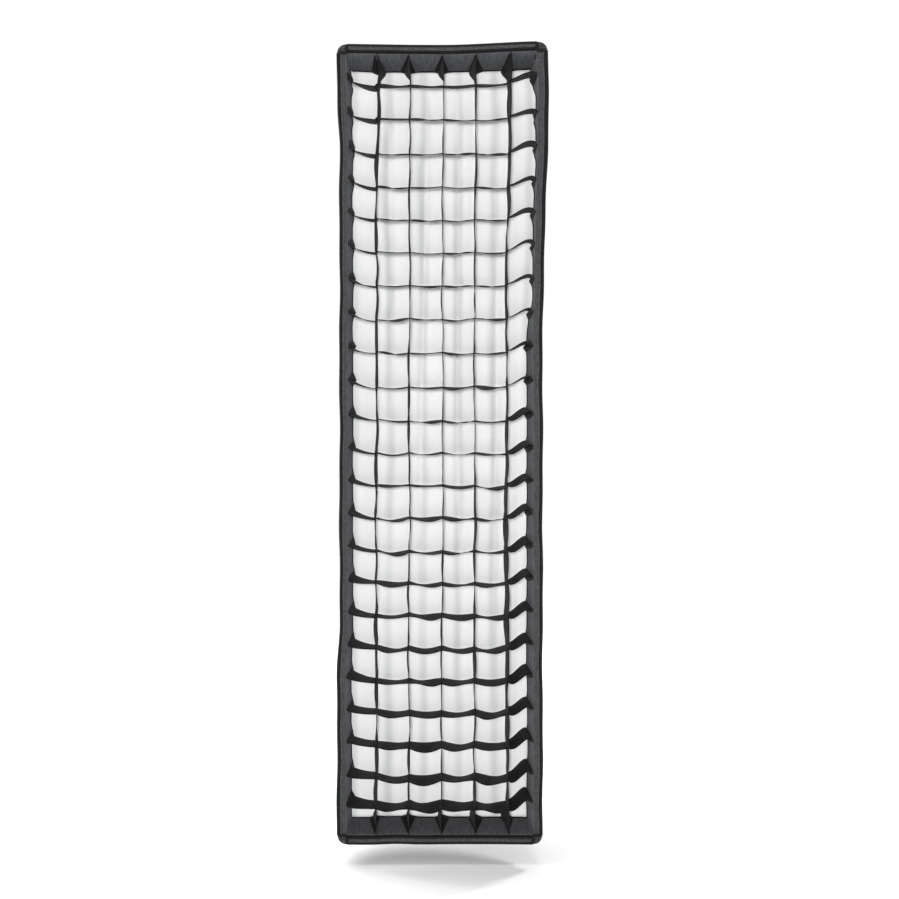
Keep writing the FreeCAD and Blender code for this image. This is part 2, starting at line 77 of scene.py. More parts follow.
BAFFLE_HALF_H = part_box("inner_baffle")[1].z
RING_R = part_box("speedring_body")[1].z
RING_FRONT_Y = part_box("speedring_body")[0].y

# ---- shape of the cloth
CLOTH_T = 1.2 * MM
STRIP_T = 0.7 * MM
SIDE_MIDDLE = (-0.190, 0.122)       # (y, half width) half way along the bowed side panels
LONG_MIDDLE = (-0.168, 0.3815)      # (y, half height) half way along the bowed end panels
BAND_TAPER_W = 6.0 * MM             # how far the grid's border leans in towards its back
BAND_TAPER_H = 14.5 * MM
GRID_PITCH = 50.0 * MM
COLUMNS = 5
ROWS = 23
CORNER = 15.0 * MM                  # size of the stitched corner patches
CORNER_R = 13.0 * MM
BAFFLE_BEVEL = 30.0 * MM            # how much of the baffle's corners is cut off

FOLD_SHADE_PITCH = 55.0 * MM              # spacing of the painted shade bands along the folds of the loose white cloth
# place of one painted fold shade band across the cloth
FOLD_SHADE_PLACE = 28.0 * MM
SLACK_START_Y = SEAM_Y + 55.0 * MM  # where the front starts to lean, and over what depth
SLACK_DEPTH = 60.0 * MM
LOOP_TAPE_REACH = 7.0               # mm behind the lip seam that the loop tape inside keeps flat
TAPE_HALF = {"x": 0.549, "z": 0.127}   # half lengths of the hook and loop tapes
STITCH_R = 0.24 * MM
STRAP_OVERLAP = 12.0 * MM           # how far a strap is sewn on to the baffle
STRAP_TURN = 7.0 * MM               # size of the bend at its other end
STRAP_FLAT, STRAP_BENT = 0.7, 0.3   # shares of its length before the bend and in it
TAB_GAP = 2.6 * MM                  # from the panel's inside to a strap that lies on its tab
DIFFUSER_T = 0.3 * MM

# ---- room and camera
FLOOR_GAP = 32.0 * MM
FLOOR_HALF = 40.0
WORLD_LIGHT = 0.45
WORLD_LIGHT_BEHIND = 0.16
WORLD_WHITE = 1.02
CAMERA_DISTANCE = 2.0
CAMERA_ASIDE = 13.7 * MM
CAMERA_BELOW = 8.7 * MM
RIM_SHARE = 0.891                   # share of the picture's height that the rim takes up
SENSOR_W = 36.0

SIDES = (("right", "x", 1), ("left", "x", -1), ("top", "z", 1), ("bottom", "z", -1))
CORNERS = ("top_right", "top_left", "bottom_right", "bottom_left")
X, Y, Z = Vector((1, 0, 0)), Vector((0, 1, 0)), Vector((0, 0, 1))

random.seed(7)


# ---- numbers
def smooth(t):
    t = min(max(t, 0.0), 1.0)
    return t * t * (3 - 2 * t)


def mix(a, b, t):
    return a + (b - a) * t


def wobble(x, y, z):
    return noise.noise(Vector((x, y, z)))


def spread(low, high, count):
    return [mix(low, high, k / (count - 1)) for k in range(count)]


# ---- outline of the shell
def circle_through(a, b, c):
    det = 2 * (a[0] * (b[1] - c[1]) + b[0] * (c[1] - a[1]) + c[0] * (a[1] - b[1]))
    a2, b2, c2 = (p[0] ** 2 + p[1] ** 2 for p in (a, b, c))
    u = (a2 * (b[1] - c[1]) + b2 * (c[1] - a[1]) + c2 * (a[1] - b[1])) / det
    v = (a2 * (c[0] - b[0]) + b2 * (a[0] - c[0]) + c2 * (b[0] - a[0])) / det
    return u, v, math.hypot(a[0] - u, a[1] - v)


REAR_HALF_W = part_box("rear_collar")[1].x
REAR_HALF_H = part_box("rear_collar")[1].z
SEAM_HALF_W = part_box("shell_panel_right")[1].x
SEAM_HALF_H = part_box("shell_panel_top")[1].z
SIDE_ARC = circle_through((REAR_Y, REAR_HALF_W), SIDE_MIDDLE, (SEAM_Y, SEAM_HALF_W))
LONG_ARC = circle_through((REAR_Y, REAR_HALF_H), LONG_MIDDLE, (SEAM_Y, SEAM_HALF_H))


def arc_half(arc, y):
    return arc[1] + math.sqrt(arc[2] ** 2 - (y - arc[0]) ** 2)


def half_w(y):
    """Outer half width of the shell at depth y."""
    if y >= SEAM_Y:
        return arc_half(SIDE_ARC, y)
    return mix(SEAM_HALF_W, LIP_HALF_W, (y - SEAM_Y) / (HEM_BACK_Y - SEAM_Y))


def half_h(y):
    if y >= SEAM_Y:
        return arc_half(LONG_ARC, y)
    return mix(SEAM_HALF_H, LIP_HALF_H, (y - SEAM_Y) / (HEM_BACK_Y - SEAM_Y))


def placed(axis, sign, out, y, along):
    """A point at distance out towards one side, at a place along that side."""
    return (sign * out, y, along) if axis == "x" else (along, y, sign * out)


def halves(axis, y):
    """The shell's half sizes at depth y: towards a side, and along it."""
    return (half_w(y), half_h(y)) if axis == "x" else (half_h(y), half_w(y))


def facing(axis, sign, values):
    """values in the order that makes the faces of a side point outwards."""
    return values[::-1] if (axis == "x") == (sign > 0) else values


def corner_radius(y):
    """The seam's sharp corner rounds out towards the rim."""
    return CORNER_R * smooth((SEAM_Y + 8 * MM - y) / (SEAM_Y - HEM_BACK_Y))


def rounded(x, z, w, h, radius):
    """Moves a point of a rectangle's edge on to the same rectangle with round corners."""
    dx = abs(x) - (w - radius)
    dz = abs(z) - (h - radius)
    if min(dx, dz) <= 0:
        return x, z
    shrink = max(dx, dz) / math.hypot(dx, dz)
    return (math.copysign(w - radius + dx * shrink, x), math.copysign(h - radius + dz * shrink, z))


def shell_edge(x, y, z):
    """A point on the outside of the shell's section at depth y, with its corner rounded."""
    px, pz = rounded(x, z, half_w(y), half_h(y), corner_radius(y))
    return slack((px, y, pz))


def slack(p):
    """The front of the cloth isn't quite a rectangle: one corner is pulled out and the edges wave."""
    x, y, z = p
    near = smooth((SLACK_START_Y - y) / SLACK_DEPTH)
    up = z / RIM_HALF_H
    across = x / RIM_HALF_W
    if x > 0:
        side = mix(0.5, 9.8, smooth((up - 0.25) / 0.65))
    else:
        side = 1.2 - 3.6 * smooth((up - 0.74) / 0.12) - 3.9 * smooth((-up - 0.45) / 0.15)
    ripple = 0.5 * math.sin(z * 27 + 1.3) + 0.4 * math.sin(z * 61)
    lift = 4.0 * smooth(across) - 1.2 * math.cos(across * 2.2) - 0.7
    sink = 0.5 * math.sin(across * 3.1 + 0.6) - 0.9 + 1.3 * math.exp(-((across + 0.45) / 0.16) ** 2)
    rise = mix(sink, lift, smooth((up + 1) / 2)) * smooth((abs(up) - 0.8) / 0.2)
    return Vector((x + (side + ripple) * across ** 4 * near * MM, y, z + rise * near * MM))


# ---- mesh helpers
def linked(name, data):
    obj = bpy.data.objects.new(name, data)
    bpy.context.collection.objects.link(obj)
    return obj


def mesh_object(name, verts, faces):
    mesh = bpy.data.meshes.new(name)
    mesh.from_pydata(verts, [], faces)
    for polygon in mesh.polygons:
        polygon.use_smooth = True
    mesh.update()
    return linked(name, mesh)


def surface(name, us, vs, point, wrap=False, index=None):
    """A sheet of quads through point(u, v). wrap joins the last u to the first."""
    n = len(vs)
    faces = []
    for i in range(len(us) if wrap else len(us) - 1):
        a = i * n
        b = ((i + 1) % len(us)) * n
        faces += [(a + j, b + j, b + j + 1, a + j + 1) for j in range(n - 1)]
    obj = mesh_object(name, [point(u, v) for u in us for v in vs], faces)
    if index is not None:
        for k, polygon in enumerate(obj.data.polygons):
            polygon.material_index = index(k % (n - 1))
    return obj


def joined(name, parts):
    """One mesh object from several (vertices, faces) lists."""
    verts, faces = [], []
    for part_verts, part_faces in parts:
        base = len(verts)
        verts += part_verts
        faces += [tuple(base + k for k in face) for face in part_faces]
    return mesh_object(name, verts, faces)


def tube_part(points, radius, sides=8):
    """A closed round tube through points, as (vertices, faces)."""
    verts, faces = [], []
    last = len(points) - 1
    for k, p in enumerate(points):
        along = (points[min(k + 1, last)] - points[max(k - 1, 0)]).normalized()
        side = along.cross(Vector((0.31, 0.2, 0.93)))
        side = (side if side.length > 0.2 else along.cross(Vector((0.9, 0.1, 0.0)))).normalized()
        up = along.cross(side)
        end = 0.55 if k in (0, last) else 1.0
        for j in range(sides):
            a = 2 * math.pi * j / sides
            verts.append(p + (side * math.cos(a) + up * math.sin(a)) * radius * end)
    for k in range(last):
        for j in range(sides):
            a, b = k * sides + j, k * sides + (j + 1) % sides
            faces.append((a, b, b + sides, a + sides))
    faces.append(tuple(range(sides - 1, -1, -1)))
    faces.append(tuple(last * sides + j for j in range(sides)))
    return verts, faces


def walk(path, lengths):
    """Points at the given distances along a path, a list of points. The distances only rise."""
    found = []
    gone = 0.0
    k = 0
    for length in lengths:
        while k < len(path) - 2 and gone + (path[k + 1] - path[k]).length < length:
            gone += (path[k + 1] - path[k]).length
            k += 1
        run = (path[k + 1] - path[k]).length
        found.append(path[k].lerp(path[k + 1], (length - gone) / run))
    return found


def stitch_parts(path, length, gap, radius, lift):
    """A row of thread stitches along path, their middles lifted off the cloth."""
    total = sum((b - a).length for a, b in zip(path, path[1:]))
    starts = [gap + k * (length + gap) for k in range(int((total - gap) / (length + gap)))]
    begins = walk(path, starts)
    ends = walk(path, [start + length for start in starts])
    return [tube_part([a, (a + b) / 2 + lift, b], radius, 5) for a, b in zip(begins, ends)]


def solid_cloth(obj, thickness, offset=0.0, inner=0):
    skin = obj.modifiers.new("thickness", "SOLIDIFY")
    skin.thickness = thickness
    skin.offset = offset
    skin.material_offset = inner


def dress(obj, body, slot, *materials):
    for material in materials:
        obj.data.materials.append(material)
    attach(obj, body)


def make_cloth(obj, thickness, offset, body, slot, materials, nodes,
               inner=0):
    """Finishes a sheet: thickness, materials and body, and hides the CAD nodes it replaces; slot is not
    used.
    """
    solid_cloth(obj, thickness, offset, inner)
    dress(obj, body, slot, *materials)
    if nodes:
        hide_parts(*nodes)


def sewn(name, parts):
    """Thread stitches on the shell."""
    dress(joined(name, parts), "softbox", "binding_tape", THREAD)


# ---- materials
def add_node(tree, kind, **inputs):
    """A shader node with values on its inputs. An underscore in a name stands for a space."""
    made = tree.nodes.new("ShaderNode" + kind)
    for name, value in inputs.items():
        made.inputs[name.replace("_", " ")].default_value = value
    return made


class Shader:
    """A principled material with a few node helpers."""

    def __init__(self, name, roughness, metallic=0.0, sheen=0.0, coat=0.0, specular=0.5):
        self.material = bpy.data.materials.new(name)
        self.material.use_nodes = True
        self.tree = self.material.node_tree
        self.tree.nodes.clear()
        self.surface = self.node("BsdfPrincipled", Roughness=roughness, Metallic=metallic,
                                 Sheen_Weight=sheen, Sheen_Roughness=0.45, Coat_Weight=coat,
                                 Specular_IOR_Level=specular)
        self.link(self.surface.outputs["BSDF"], self.node("OutputMaterial").inputs["Surface"])
        self.place = self.node("TexCoord").outputs["Object"]

    def node(self, kind, **inputs):
        return add_node(self.tree, kind, **inputs)

    def link(self, source, target):
        self.tree.links.new(source, target)

    def math(self, operation, first, second=None):
        made = self.node("Math")
        made.operation = operation
        for socket, value in zip(made.inputs, (first, second)):
            if value is None:
                continue
            if isinstance(value, (int, float)):
                socket.default_value = value
            else:
                self.link(value, socket)
        return made.outputs[0]

    def scaled(self, factors):
        """The place on the object times factors: one number, or one for each axis."""
        made = self.node("VectorMath")
        made.operation = "MULTIPLY"
        self.link(self.place, made.inputs[0])
        made.inputs[1].default_value = factors if isinstance(factors, tuple) else (factors,) * 3
        return made.outputs[0]

    def split(self, vector):
        made = self.node("SeparateXYZ")
        self.link(vector, made.inputs[0])
        return made.outputs

    def noise(self, factors, detail=3.0, rough=0.55):
        """Noise whose grain is factors per metre along each axis."""
        made = self.node("TexNoise", Scale=1.0, Detail=detail, Roughness=rough)
        self.link(self.scaled(factors), made.inputs["Vector"])
        return made.outputs["Fac"]

    def weave(self, period):
        """Threads over and under, from sines along the three axes."""
        waves = [self.math("SINE", part) for part in self.split(self.scaled(2 * math.pi / period))]
        total = self.math("ADD", waves[0], waves[2])
        return self.math("ADD", total, self.math("MULTIPLY", waves[1], 0.7))

    def ramp(self, source, dark, light, low=0.3, high=0.7):
        made = self.node("ValToRGB")
        for stop, place, colour in zip(made.color_ramp.elements, (low, high), (dark, light)):
            stop.position = place
            stop.color = (*colour, 1)
        self.link(source, made.inputs[0])
        return made.outputs["Color"]

    def colour(self, source):
        self.link(source, self.surface.inputs["Base Color"])

    def roughness(self, source, low, high):
        made = self.node("MapRange", To_Min=low, To_Max=high)
        self.link(source, made.inputs["Value"])
        self.link(made.outputs["Result"], self.surface.inputs["Roughness"])

    def bump(self, *layers):
        """Each layer is (height, strength, distance in metres)."""
        normal = self.surface.inputs["Normal"]
        for height, strength, distance in reversed(layers):
            made = self.node("Bump", Strength=strength, Distance=distance)
            self.link(height, made.inputs["Height"])
            self.link(made.outputs["Normal"], normal)
            normal = made.inputs["Normal"]


def grey(value, tint=0.0):
    return (value, value * (1 + tint * 0.2), value * (1 + tint))


def cloth_material(name, dark, light, period, roughness, sheen, streaks, tint=0.04, specular=0.3):
    """Woven cloth: threads, uneven dye along the threads and faint creases."""
    s = Shader(name, roughness, sheen=sheen, specular=specular)
    grain = s.noise(streaks, 4.0, 0.6)
    s.colour(s.ramp(grain, grey(dark, tint), grey(light, tint), 0.28, 0.72))
    s.roughness(s.noise(90), roughness - 0.08, roughness + 0.1)
    s.bump(
        (s.noise(22, 2.0), 0.12, 1.5 * MM),
        (grain, 0.25, 0.3 * MM),
        (s.weave(period), 0.35, 0.12 * MM),
    )
    return s.material


def shell_cloth():
    """Coated black nylon: a fine weave, soft waves, and sharp creases left by packing it away."""
    s = Shader("coated_nylon", 0.46, sheen=0.06, specular=0.45)
    grain = s.noise((260, 260, 60), 4.0, 0.6)
    dust = s.noise(14, 5.0, 0.7)
    tone = s.math("ADD", s.math("MULTIPLY", grain, 0.6), s.math("MULTIPLY", dust, 0.4))
    s.colour(s.ramp(tone, grey(0.004, 0.05), grey(0.014, 0.05), 0.35, 0.7))
    s.roughness(dust, 0.40, 0.62)
    cracks = s.node("TexVoronoi", Scale=1.0)
    cracks.feature = "DISTANCE_TO_EDGE"
    bent = s.node("VectorMath")
    bent.operation = "ADD"
    s.link(s.scaled((6, 6, 4)), bent.inputs[0])
    s.link(s.noise(9, 2.0), bent.inputs[1])
    s.link(bent.outputs[0], cracks.inputs["Vector"])
    crease = s.math("MINIMUM", s.math("MULTIPLY", cracks.outputs["Distance"], 14.0), 1.0)
    s.bump(
        (s.noise((9, 9, 6), 3.0), 0.5, 6.0 * MM),
        (crease, 0.3, 1.0 * MM),
        (s.noise((55, 55, 40), 3.0), 0.25, 0.9 * MM),
        (s.weave(1.3 * MM), 0.12, 0.12 * MM),
    )
    return s.material


def diffuser_white():
    """Ripstop: a fine weave with a thicker thread every few millimetres, with painted shade: grey upright
    streaks at random and grey bands along its folds.
    """
    s = Shader("diffuser_white", 0.78, sheen=0.15)
    # painted shade: random grey upright streaks standing in for the shade of loose folds
    painted_streak_shade = s.noise((30, 9, 2), 3.0)
    # painted shade: grey bands about 55 mm apart that follow the folds, stronger in some places than in
    # others
    sway = s.math("MULTIPLY", s.math("SUBTRACT", s.noise((3, 3, 5), 2.0), 0.5), 24.0 * MM)
    across = s.math("ADD", s.math("SUBTRACT", s.split(s.place)["X"], FOLD_SHADE_PLACE), sway)
    wave = s.math("COSINE", s.math("MULTIPLY", across, 2 * math.pi / FOLD_SHADE_PITCH))
    fold_shade_crest = s.math("POWER", s.math("MAXIMUM", wave, 0.0), 3.0)
    strength = s.math("MULTIPLY", s.noise((18, 4, 4), 3.0), 1.5)
    fold = s.math("MULTIPLY", fold_shade_crest, strength)
    tone = s.math("SUBTRACT", s.math("MULTIPLY", painted_streak_shade, 0.5), s.math("MULTIPLY", fold, 0.6))
    tone = s.math("ADD", tone, 0.66)
    # the ramp's grey end is the painted fold shade, its pale end the cloth's own white
    s.colour(s.ramp(tone, (0.60, 0.605, 0.615), (0.95, 0.95, 0.953), 0.1, 0.93))
    s.roughness(s.noise(120), 0.7, 0.86)
    s.bump(
        (s.noise((130, 20, 6), 3.0), 0.18, 0.6 * MM),
        (s.weave(5.0 * MM), 0.12, 0.05 * MM),
        (s.weave(1.1 * MM), 0.15, 0.05 * MM),
    )
    return s.material


def ribbed(name, dark, light, axis, period, roughness):
    """Webbing or elastic with ribs across one axis."""
    s = Shader(name, roughness, sheen=0.2)
    rib = s.math("SINE", s.split(s.scaled(2 * math.pi / period))[axis])
    s.colour(s.ramp(s.noise(300), grey(dark), grey(light)))
    s.roughness(s.noise(150), roughness - 0.08, roughness + 0.08)
    s.bump((rib, 0.5, 0.35 * MM), (s.weave(1.0 * MM), 0.3, 0.1 * MM))
    return s.material


def powder_coat():
    """Cast aluminium under black powder coat with a fine orange-peel skin."""
    s = Shader("black_powder_coat", 0.46, coat=0.1, specular=0.4)
    fleck = s.noise(260, 4.0, 0.7)
    s.colour(s.ramp(fleck, grey(0.011), grey(0.024)))
    s.roughness(s.noise(60), 0.36, 0.54)
    s.bump((s.noise(900, 2.0), 0.22, 0.15 * MM))
    return s.material


def turned_steel():
    """Zinc-plated steel with the rings that a lathe leaves round the Y axis."""
    s = Shader("turned_steel", 0.3, metallic=1.0)
    squares = [s.math("POWER", s.split(s.place)[axis], 2.0) for axis in "XZ"]
    radius = s.math("SQRT", s.math("ADD", *squares))
    rings = s.math("SINE", s.math("MULTIPLY", radius, 9000.0))
    cloud = s.noise(45, 4.0)
    s.colour(s.ramp(cloud, (0.25, 0.25, 0.245), (0.36, 0.36, 0.365)))
    s.roughness(cloud, 0.30, 0.46)
    s.bump((rings, 0.12, 0.04 * MM), (s.noise(700), 0.1, 0.05 * MM))
    return s.material


def grained(name, roughness, factors, detail, rough, tones, relief, weave=None, span=(0.3, 0.7), **looks):
    """One grain sets the tone, the roughness (usual, least, most) and the relief (strength, depth)."""
    s = Shader(name, roughness[0], **looks)
    grain = s.noise(factors, detail, rough)
    s.colour(s.ramp(grain, *tones, *span))
    s.roughness(grain, *roughness[1:])
    layers = [(grain, *relief)]
    if weave is not None:
        layers.append((s.weave(weave[0]), *weave[1:]))
    s.bump(*layers)
    return s.material


def metal(name, dark, light, factors, low, high):
    return grained(name, (low, low, high), factors, 4.0, 0.6, (dark, light), (0.15, 0.05 * MM), metallic=1.0)


def moulded(name, dark, light, grain, low, high):
    """Moulded plastic or rubber with a fine skin texture."""
    tones = (grey(dark), grey(light))
    return grained(name, (low, low, high), grain, 3.0, 0.6, tones, (0.3, 0.12 * MM), coat=0.05)


SHELL = shell_cloth()
SILVER = grained("silver_lining", (0.34, 0.28, 0.46), 60, 5.0, 0.65, (grey(0.62), grey(0.82)),
                 (0.5, 0.8 * MM), (1.4 * MM, 0.2, 0.08 * MM), metallic=0.9)
BAND = cloth_material("charcoal_band", 0.034, 0.095, 1.6 * MM, 0.80, 0.12, (620, 60, 70), 0.12, 0.15)
HEM = cloth_material("charcoal_hem", 0.024, 0.068, 1.3 * MM, 0.75, 0.10, (300, 80, 300), 0.06, 0.2)
PIPING = cloth_material("black_piping", 0.003, 0.008, 1.0 * MM, 0.60, 0.03, 400, specular=0.15)
STRIP = cloth_material("grid_nylon", 0.004, 0.013, 1.3 * MM, 0.75, 0.03, (300, 90, 300), specular=0.12)
# white ripstop with painted fold shade, used on the front diffuser and the inner baffle
WHITE = diffuser_white()
WEBBING = ribbed("nylon_webbing", 0.012, 0.03, "Z", 1.8 * MM, 0.62)
ELASTIC = ribbed("ribbed_elastic", 0.012, 0.028, "Y", 1.2 * MM, 0.7)
PILE = grained("hook_and_loop_pile", (0.92, 0.85, 0.98), 900, 4.0, 0.7, (grey(0.008), grey(0.05)),
               (0.9, 0.7 * MM), sheen=0.4)
# Reinforced corner cloth: dark, with pale spots spread at random over the whole patch.
CORNER_CLOTH = grained("pale_spotted_corner_cloth", (0.6, 0.45, 0.75), 140, 5.0, 0.7,
                       ((0.008, 0.008, 0.009), (0.085, 0.09, 0.083)), (0.4, 0.5 * MM),
                       (1.5 * MM, 0.3, 0.12 * MM), (0.5, 0.8), sheen=0.25)
THREAD = grained("thread", (0.6, 0.5, 0.7), 1800, 2.0, 0.55, (grey(0.02), grey(0.06)),
                 (0.5, 0.1 * MM), sheen=0.2)
CAST = powder_coat()
STEEL = turned_steel()
SPRING_STEEL = metal("spring_steel", grey(0.38), grey(0.62), (900, 60, 60), 0.26, 0.42)
SCREW_STEEL = metal("screw_steel", grey(0.40), grey(0.60), 500, 0.25, 0.40)
BRASS = metal("brass", (0.50, 0.37, 0.16), (0.72, 0.56, 0.28), (500, 80, 500), 0.28, 0.45)
RUBBER = moulded("rubber", 0.012, 0.028, 900, 0.72, 0.9)
KNOB = moulded("knob_plastic", 0.010, 0.022, 1400, 0.42, 0.58)

CAD_MATERIALS = {
    "mount_insert": STEEL,
    "retaining_ring": STEEL,
    "retaining_screws": SCREW_STEEL,
    "speedring_body": CAST,
    "lock_screw": SCREW_STEEL,
    "lock_knob": KNOB,
    "rod_ferrules": BRASS,
    "rod_tips": RUBBER,
}
for corner in CORNERS:
    CAD_MATERIALS["rod_socket_" + corner] = CAST
    CAD_MATERIALS["rod_" + corner] = SPRING_STEEL


def paint_cad_nodes():
    for name, material in CAD_MATERIALS.items():
        for mesh_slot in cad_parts[name].material_slots:
            mesh_slot.link = "OBJECT"
            mesh_slot.material = material


def corner_sign(corner):
    return (1 if "right" in corner else -1, 1 if "top" in corner else -1)


# ---- shell
def outward(axis, sign, y):
    """The direction that a bowed panel faces at depth y."""
    middle_y, middle, radius = SIDE_ARC if axis == "x" else LONG_ARC
    return Vector(placed(axis, sign, (halves(axis, y)[0] - middle) / radius, (y - middle_y) / radius, 0))


def pull_lines(place, pitch, key):
    """Uneven small folds, 0 to 1, about a pitch apart along a seam."""
    turn = 2 * math.pi * place / pitch + 4.5 * wobble(place * 22, key, 0.7)
    height = 0.6 + 0.8 * wobble(place * 35, key, 4.2)
    return height * (0.5 + 0.5 * math.sin(turn)) ** 1.5


def cloth_dip(axis, sign, y, v):
    """How far the pulled cloth lies inside the panel's straight section, in mm."""
    half = halves(axis, y)[1]
    key = sign * 4.0 + (1.3 if axis == "x" else 7.9)
    from_seam = (1 - abs(v)) * half / MM
    from_rear = max(REAR_Y - y, 0) / MM
    from_front = max(y - SEAM_Y, 0) / MM
    along_seam = math.hypot(y - REAR_Y, half_h(y) - REAR_HALF_H)
    hollow = 4.0 * (1 - v ** 4) * math.sin(math.pi * from_rear / (from_rear + from_front))
    soft = 2.4 * abs(wobble(v * half * 5, y * 7, key))
    drag = 4.0 * abs(wobble(v * 5 + 0.5 * wobble(v * 2, y * 6, key), y * 2.4, key + 3))
    gather = 3.4 * math.exp(-from_rear / 42) * pull_lines(v * 0.084, 0.013, key)
    seam_pull = 1.5 * math.exp(-from_seam / 16) * pull_lines(along_seam, 0.017, key + math.copysign(1.0, v))
    front_pull = 1.2 * math.exp(-from_front / 15) * pull_lines(v * half, 0.021, key)
    free = min(from_seam, from_rear, from_front - LOOP_TAPE_REACH) - 2.5
    held = 1 - math.exp(-max(free, 0) / 5)
    return hollow + (soft + drag + gather + seam_pull + front_pull) * held


def panel_point(axis, sign, y, v):
    """A point on a panel's outside: v runs from one long seam (-1) to the other (1)."""
    out, along = halves(axis, y)
    return slack(placed(axis, sign, out - cloth_dip(axis, sign, y, v) * MM, y, v * along))


def shell_panel(where, axis, sign):
    ys = spread(REAR_Y, SEAM_Y, 121)
    count = 241 if axis == "x" else 97
    vs = facing(axis, sign, [t * (1.3 - 0.3 * t * t) for t in spread(-1.0, 1.0, count)])
    panel = surface("panel_" + where, ys, vs, lambda y, v: panel_point(axis, sign, y, v))
    make_cloth(panel, CLOTH_T, -1.0, "softbox", "shell_cloth", (SHELL, SILVER), ["shell_panel_" + where],
               inner=1)
    for side, letter in ((-1, "a"), (1, "b")):
        seam_stitches("seam_stitches_%s_%s" % (where, letter), axis, sign, side)


def seam_stitches(name, axis, sign, side):
    """Two rows of stitches beside the seam at one edge of a panel."""
    parts = []
    lift = outward(axis, sign, (REAR_Y + SEAM_Y) / 2) * 0.2 * MM
    for inset in (4.6 * MM, 7.4 * MM):
        row = []
        for y in spread(REAR_Y - 3 * MM, SEAM_Y + 7 * MM, 150):
            on_cloth = panel_point(axis, sign, y, side * (1 - inset / halves(axis, y)[1]))
            row.append(on_cloth + outward(axis, sign, y) * 0.15 * MM)
        parts += stitch_parts(row, 3.0 * MM, 1.3 * MM, STITCH_R, lift)
    sewn(name, parts)


def front_lip(where, axis, sign):
    ys = spread(SEAM_Y, HEM_BACK_Y - 2 * MM, 9)
    reach = LIP_HALF_H if axis == "x" else LIP_HALF_W
    straight = spread(-1.0, 1.0, 121 if axis == "x" else 41)
    turns = [side * (1 - k * 0.9 * MM / reach) for side in (1, -1) for k in range(1, 14)]

    def point(y, v):
        out, along = halves(axis, y)
        return shell_edge(*placed(axis, sign, out, y, v * along))

    lip = surface("lip_" + where, ys, facing(axis, sign, sorted(straight + turns)), point)
    make_cloth(lip, CLOTH_T, -1.0, "softbox", "shell_cloth", [SHELL], ["front_lip_" + where])


def seam_piping(corner):
    """Piping over the seam that runs from the speed ring to the rim's corner."""
    sx, sz = corner_sign(corner)
    points = [shell_edge(sx * half_w(y), y, sz * half_h(y)) for y in spread(REAR_Y, HEM_BACK_Y, 80)]
    pipe = joined("seam_piping_cloth_" + corner, [tube_part(points, 1.9 * MM, 10)])
    dress(pipe, "softbox", "binding_tape", PIPING)
    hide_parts("seam_piping_" + corner)


# Section of the tape over the lip's seam: (distance behind the seam, height above the cloth), mm.
TAPE_SECTION = ((-5.0, 0.1), (-4.4, 0.6), (-3.0, 0.75), (0.0, 0.8), (3.0, 0.75), (4.4, 0.6), (5.0, 0.1))


def lip_seam_tape(where, axis, sign):
    """Flat tape with two rows of stitches over the seam between panel and lip."""
    vs = spread(-0.985, 0.985, 101 if axis == "x" else 41)

    def point(v, k):
        behind, raised = TAPE_SECTION[k]
        y = SEAM_Y + behind * MM
        out, along = halves(axis, y)
        return slack(placed(axis, sign, out + raised * MM, y, v * along))

    tape = surface("lip_seam_tape_" + where, vs, facing(axis, sign, range(len(TAPE_SECTION))), point)
    make_cloth(tape, 0.5 * MM, 0.0, "softbox", "binding_tape", [PIPING], [])
    lift = Vector(placed(axis, sign, 1, 0, 0))
    for letter, k in (("a", 2), ("b", 4)):
        row = [point(v, k) + lift * 0.3 * MM for v in vs]
        parts = stitch_parts(row, 2.6 * MM, 1.2 * MM, 0.22 * MM, lift * 0.15 * MM)
        sewn("lip_seam_stitches_%s_%s" % (where, letter), parts)


# ---- rim
# Section of the rolled hem: (distance in from the outside, distance back from the front), mm.
HEM_SECTION = (
    (0.9, 9.5), (0.3, 7.5), (0.0, 5.0), (0.1, 3.0), (0.6, 1.4), (1.5, 0.5), (2.6, 0.3), (3.4, 0.8),
    (3.8, 1.5), (4.3, 1.1), (5.0, 0.7), (5.8, 0.55), (6.6, 0.7), (7.2, 1.1), (7.6, 2.2),
    (8.4, 2.9), (9.8, 2.7), (10.9, 2.3), (11.5, 3.6), (11.3, 6.5),
)
HEM_PIPING_END = 7
HEM_STITCH_ROW = 11
HEM_SEAM_START = 15


def hem_point(axis, sign, along, k):
    inward, back = HEM_SECTION[k]
    wave = 0.35 * math.sin(along * 90) + 0.5 * wobble(along * 14, sign * 3.0, 1.0)
    y = RIM_Y + (back + 0.25 + 0.25 * wave) * MM
    inward = (inward + (0.5 * wave if k > HEM_PIPING_END else 0.0)) * MM
    rim = RIM_HALF_W if axis == "x" else RIM_HALF_H
    return slack(placed(axis, sign, rim - inward, y, along))


def rim_hem(where, axis, sign):
    reach = (RIM_HALF_H if axis == "x" else RIM_HALF_W) - CORNER + 1.0 * MM
    alongs = spread(-reach, reach, 301 if axis == "x" else 91)
    order = facing(axis, sign, range(len(HEM_SECTION)))

    def part(position):
        k = min(order[position], order[position + 1])
        if k < HEM_PIPING_END + (3 if axis == "x" else 0):
            return 0
        if k >= HEM_SEAM_START and axis == "z":
            return 0
        return 1

    hem = surface("rim_hem_" + where, alongs, order, lambda a, k: hem_point(axis, sign, a, k), index=part)
    make_cloth(hem, 0.6 * MM, -1.0, "softbox", "binding_tape", (PIPING, HEM), ["rim_binding_" + where])
    path = [hem_point(axis, sign, a, HEM_STITCH_ROW) + Vector((0, -0.3 * MM, 0)) for a in alongs[::6]]
    lift = Vector((0, -0.15 * MM, 0))
    sewn("hem_stitches_" + where, stitch_parts(path, 2.8 * MM, 1.4 * MM, STITCH_R, lift))


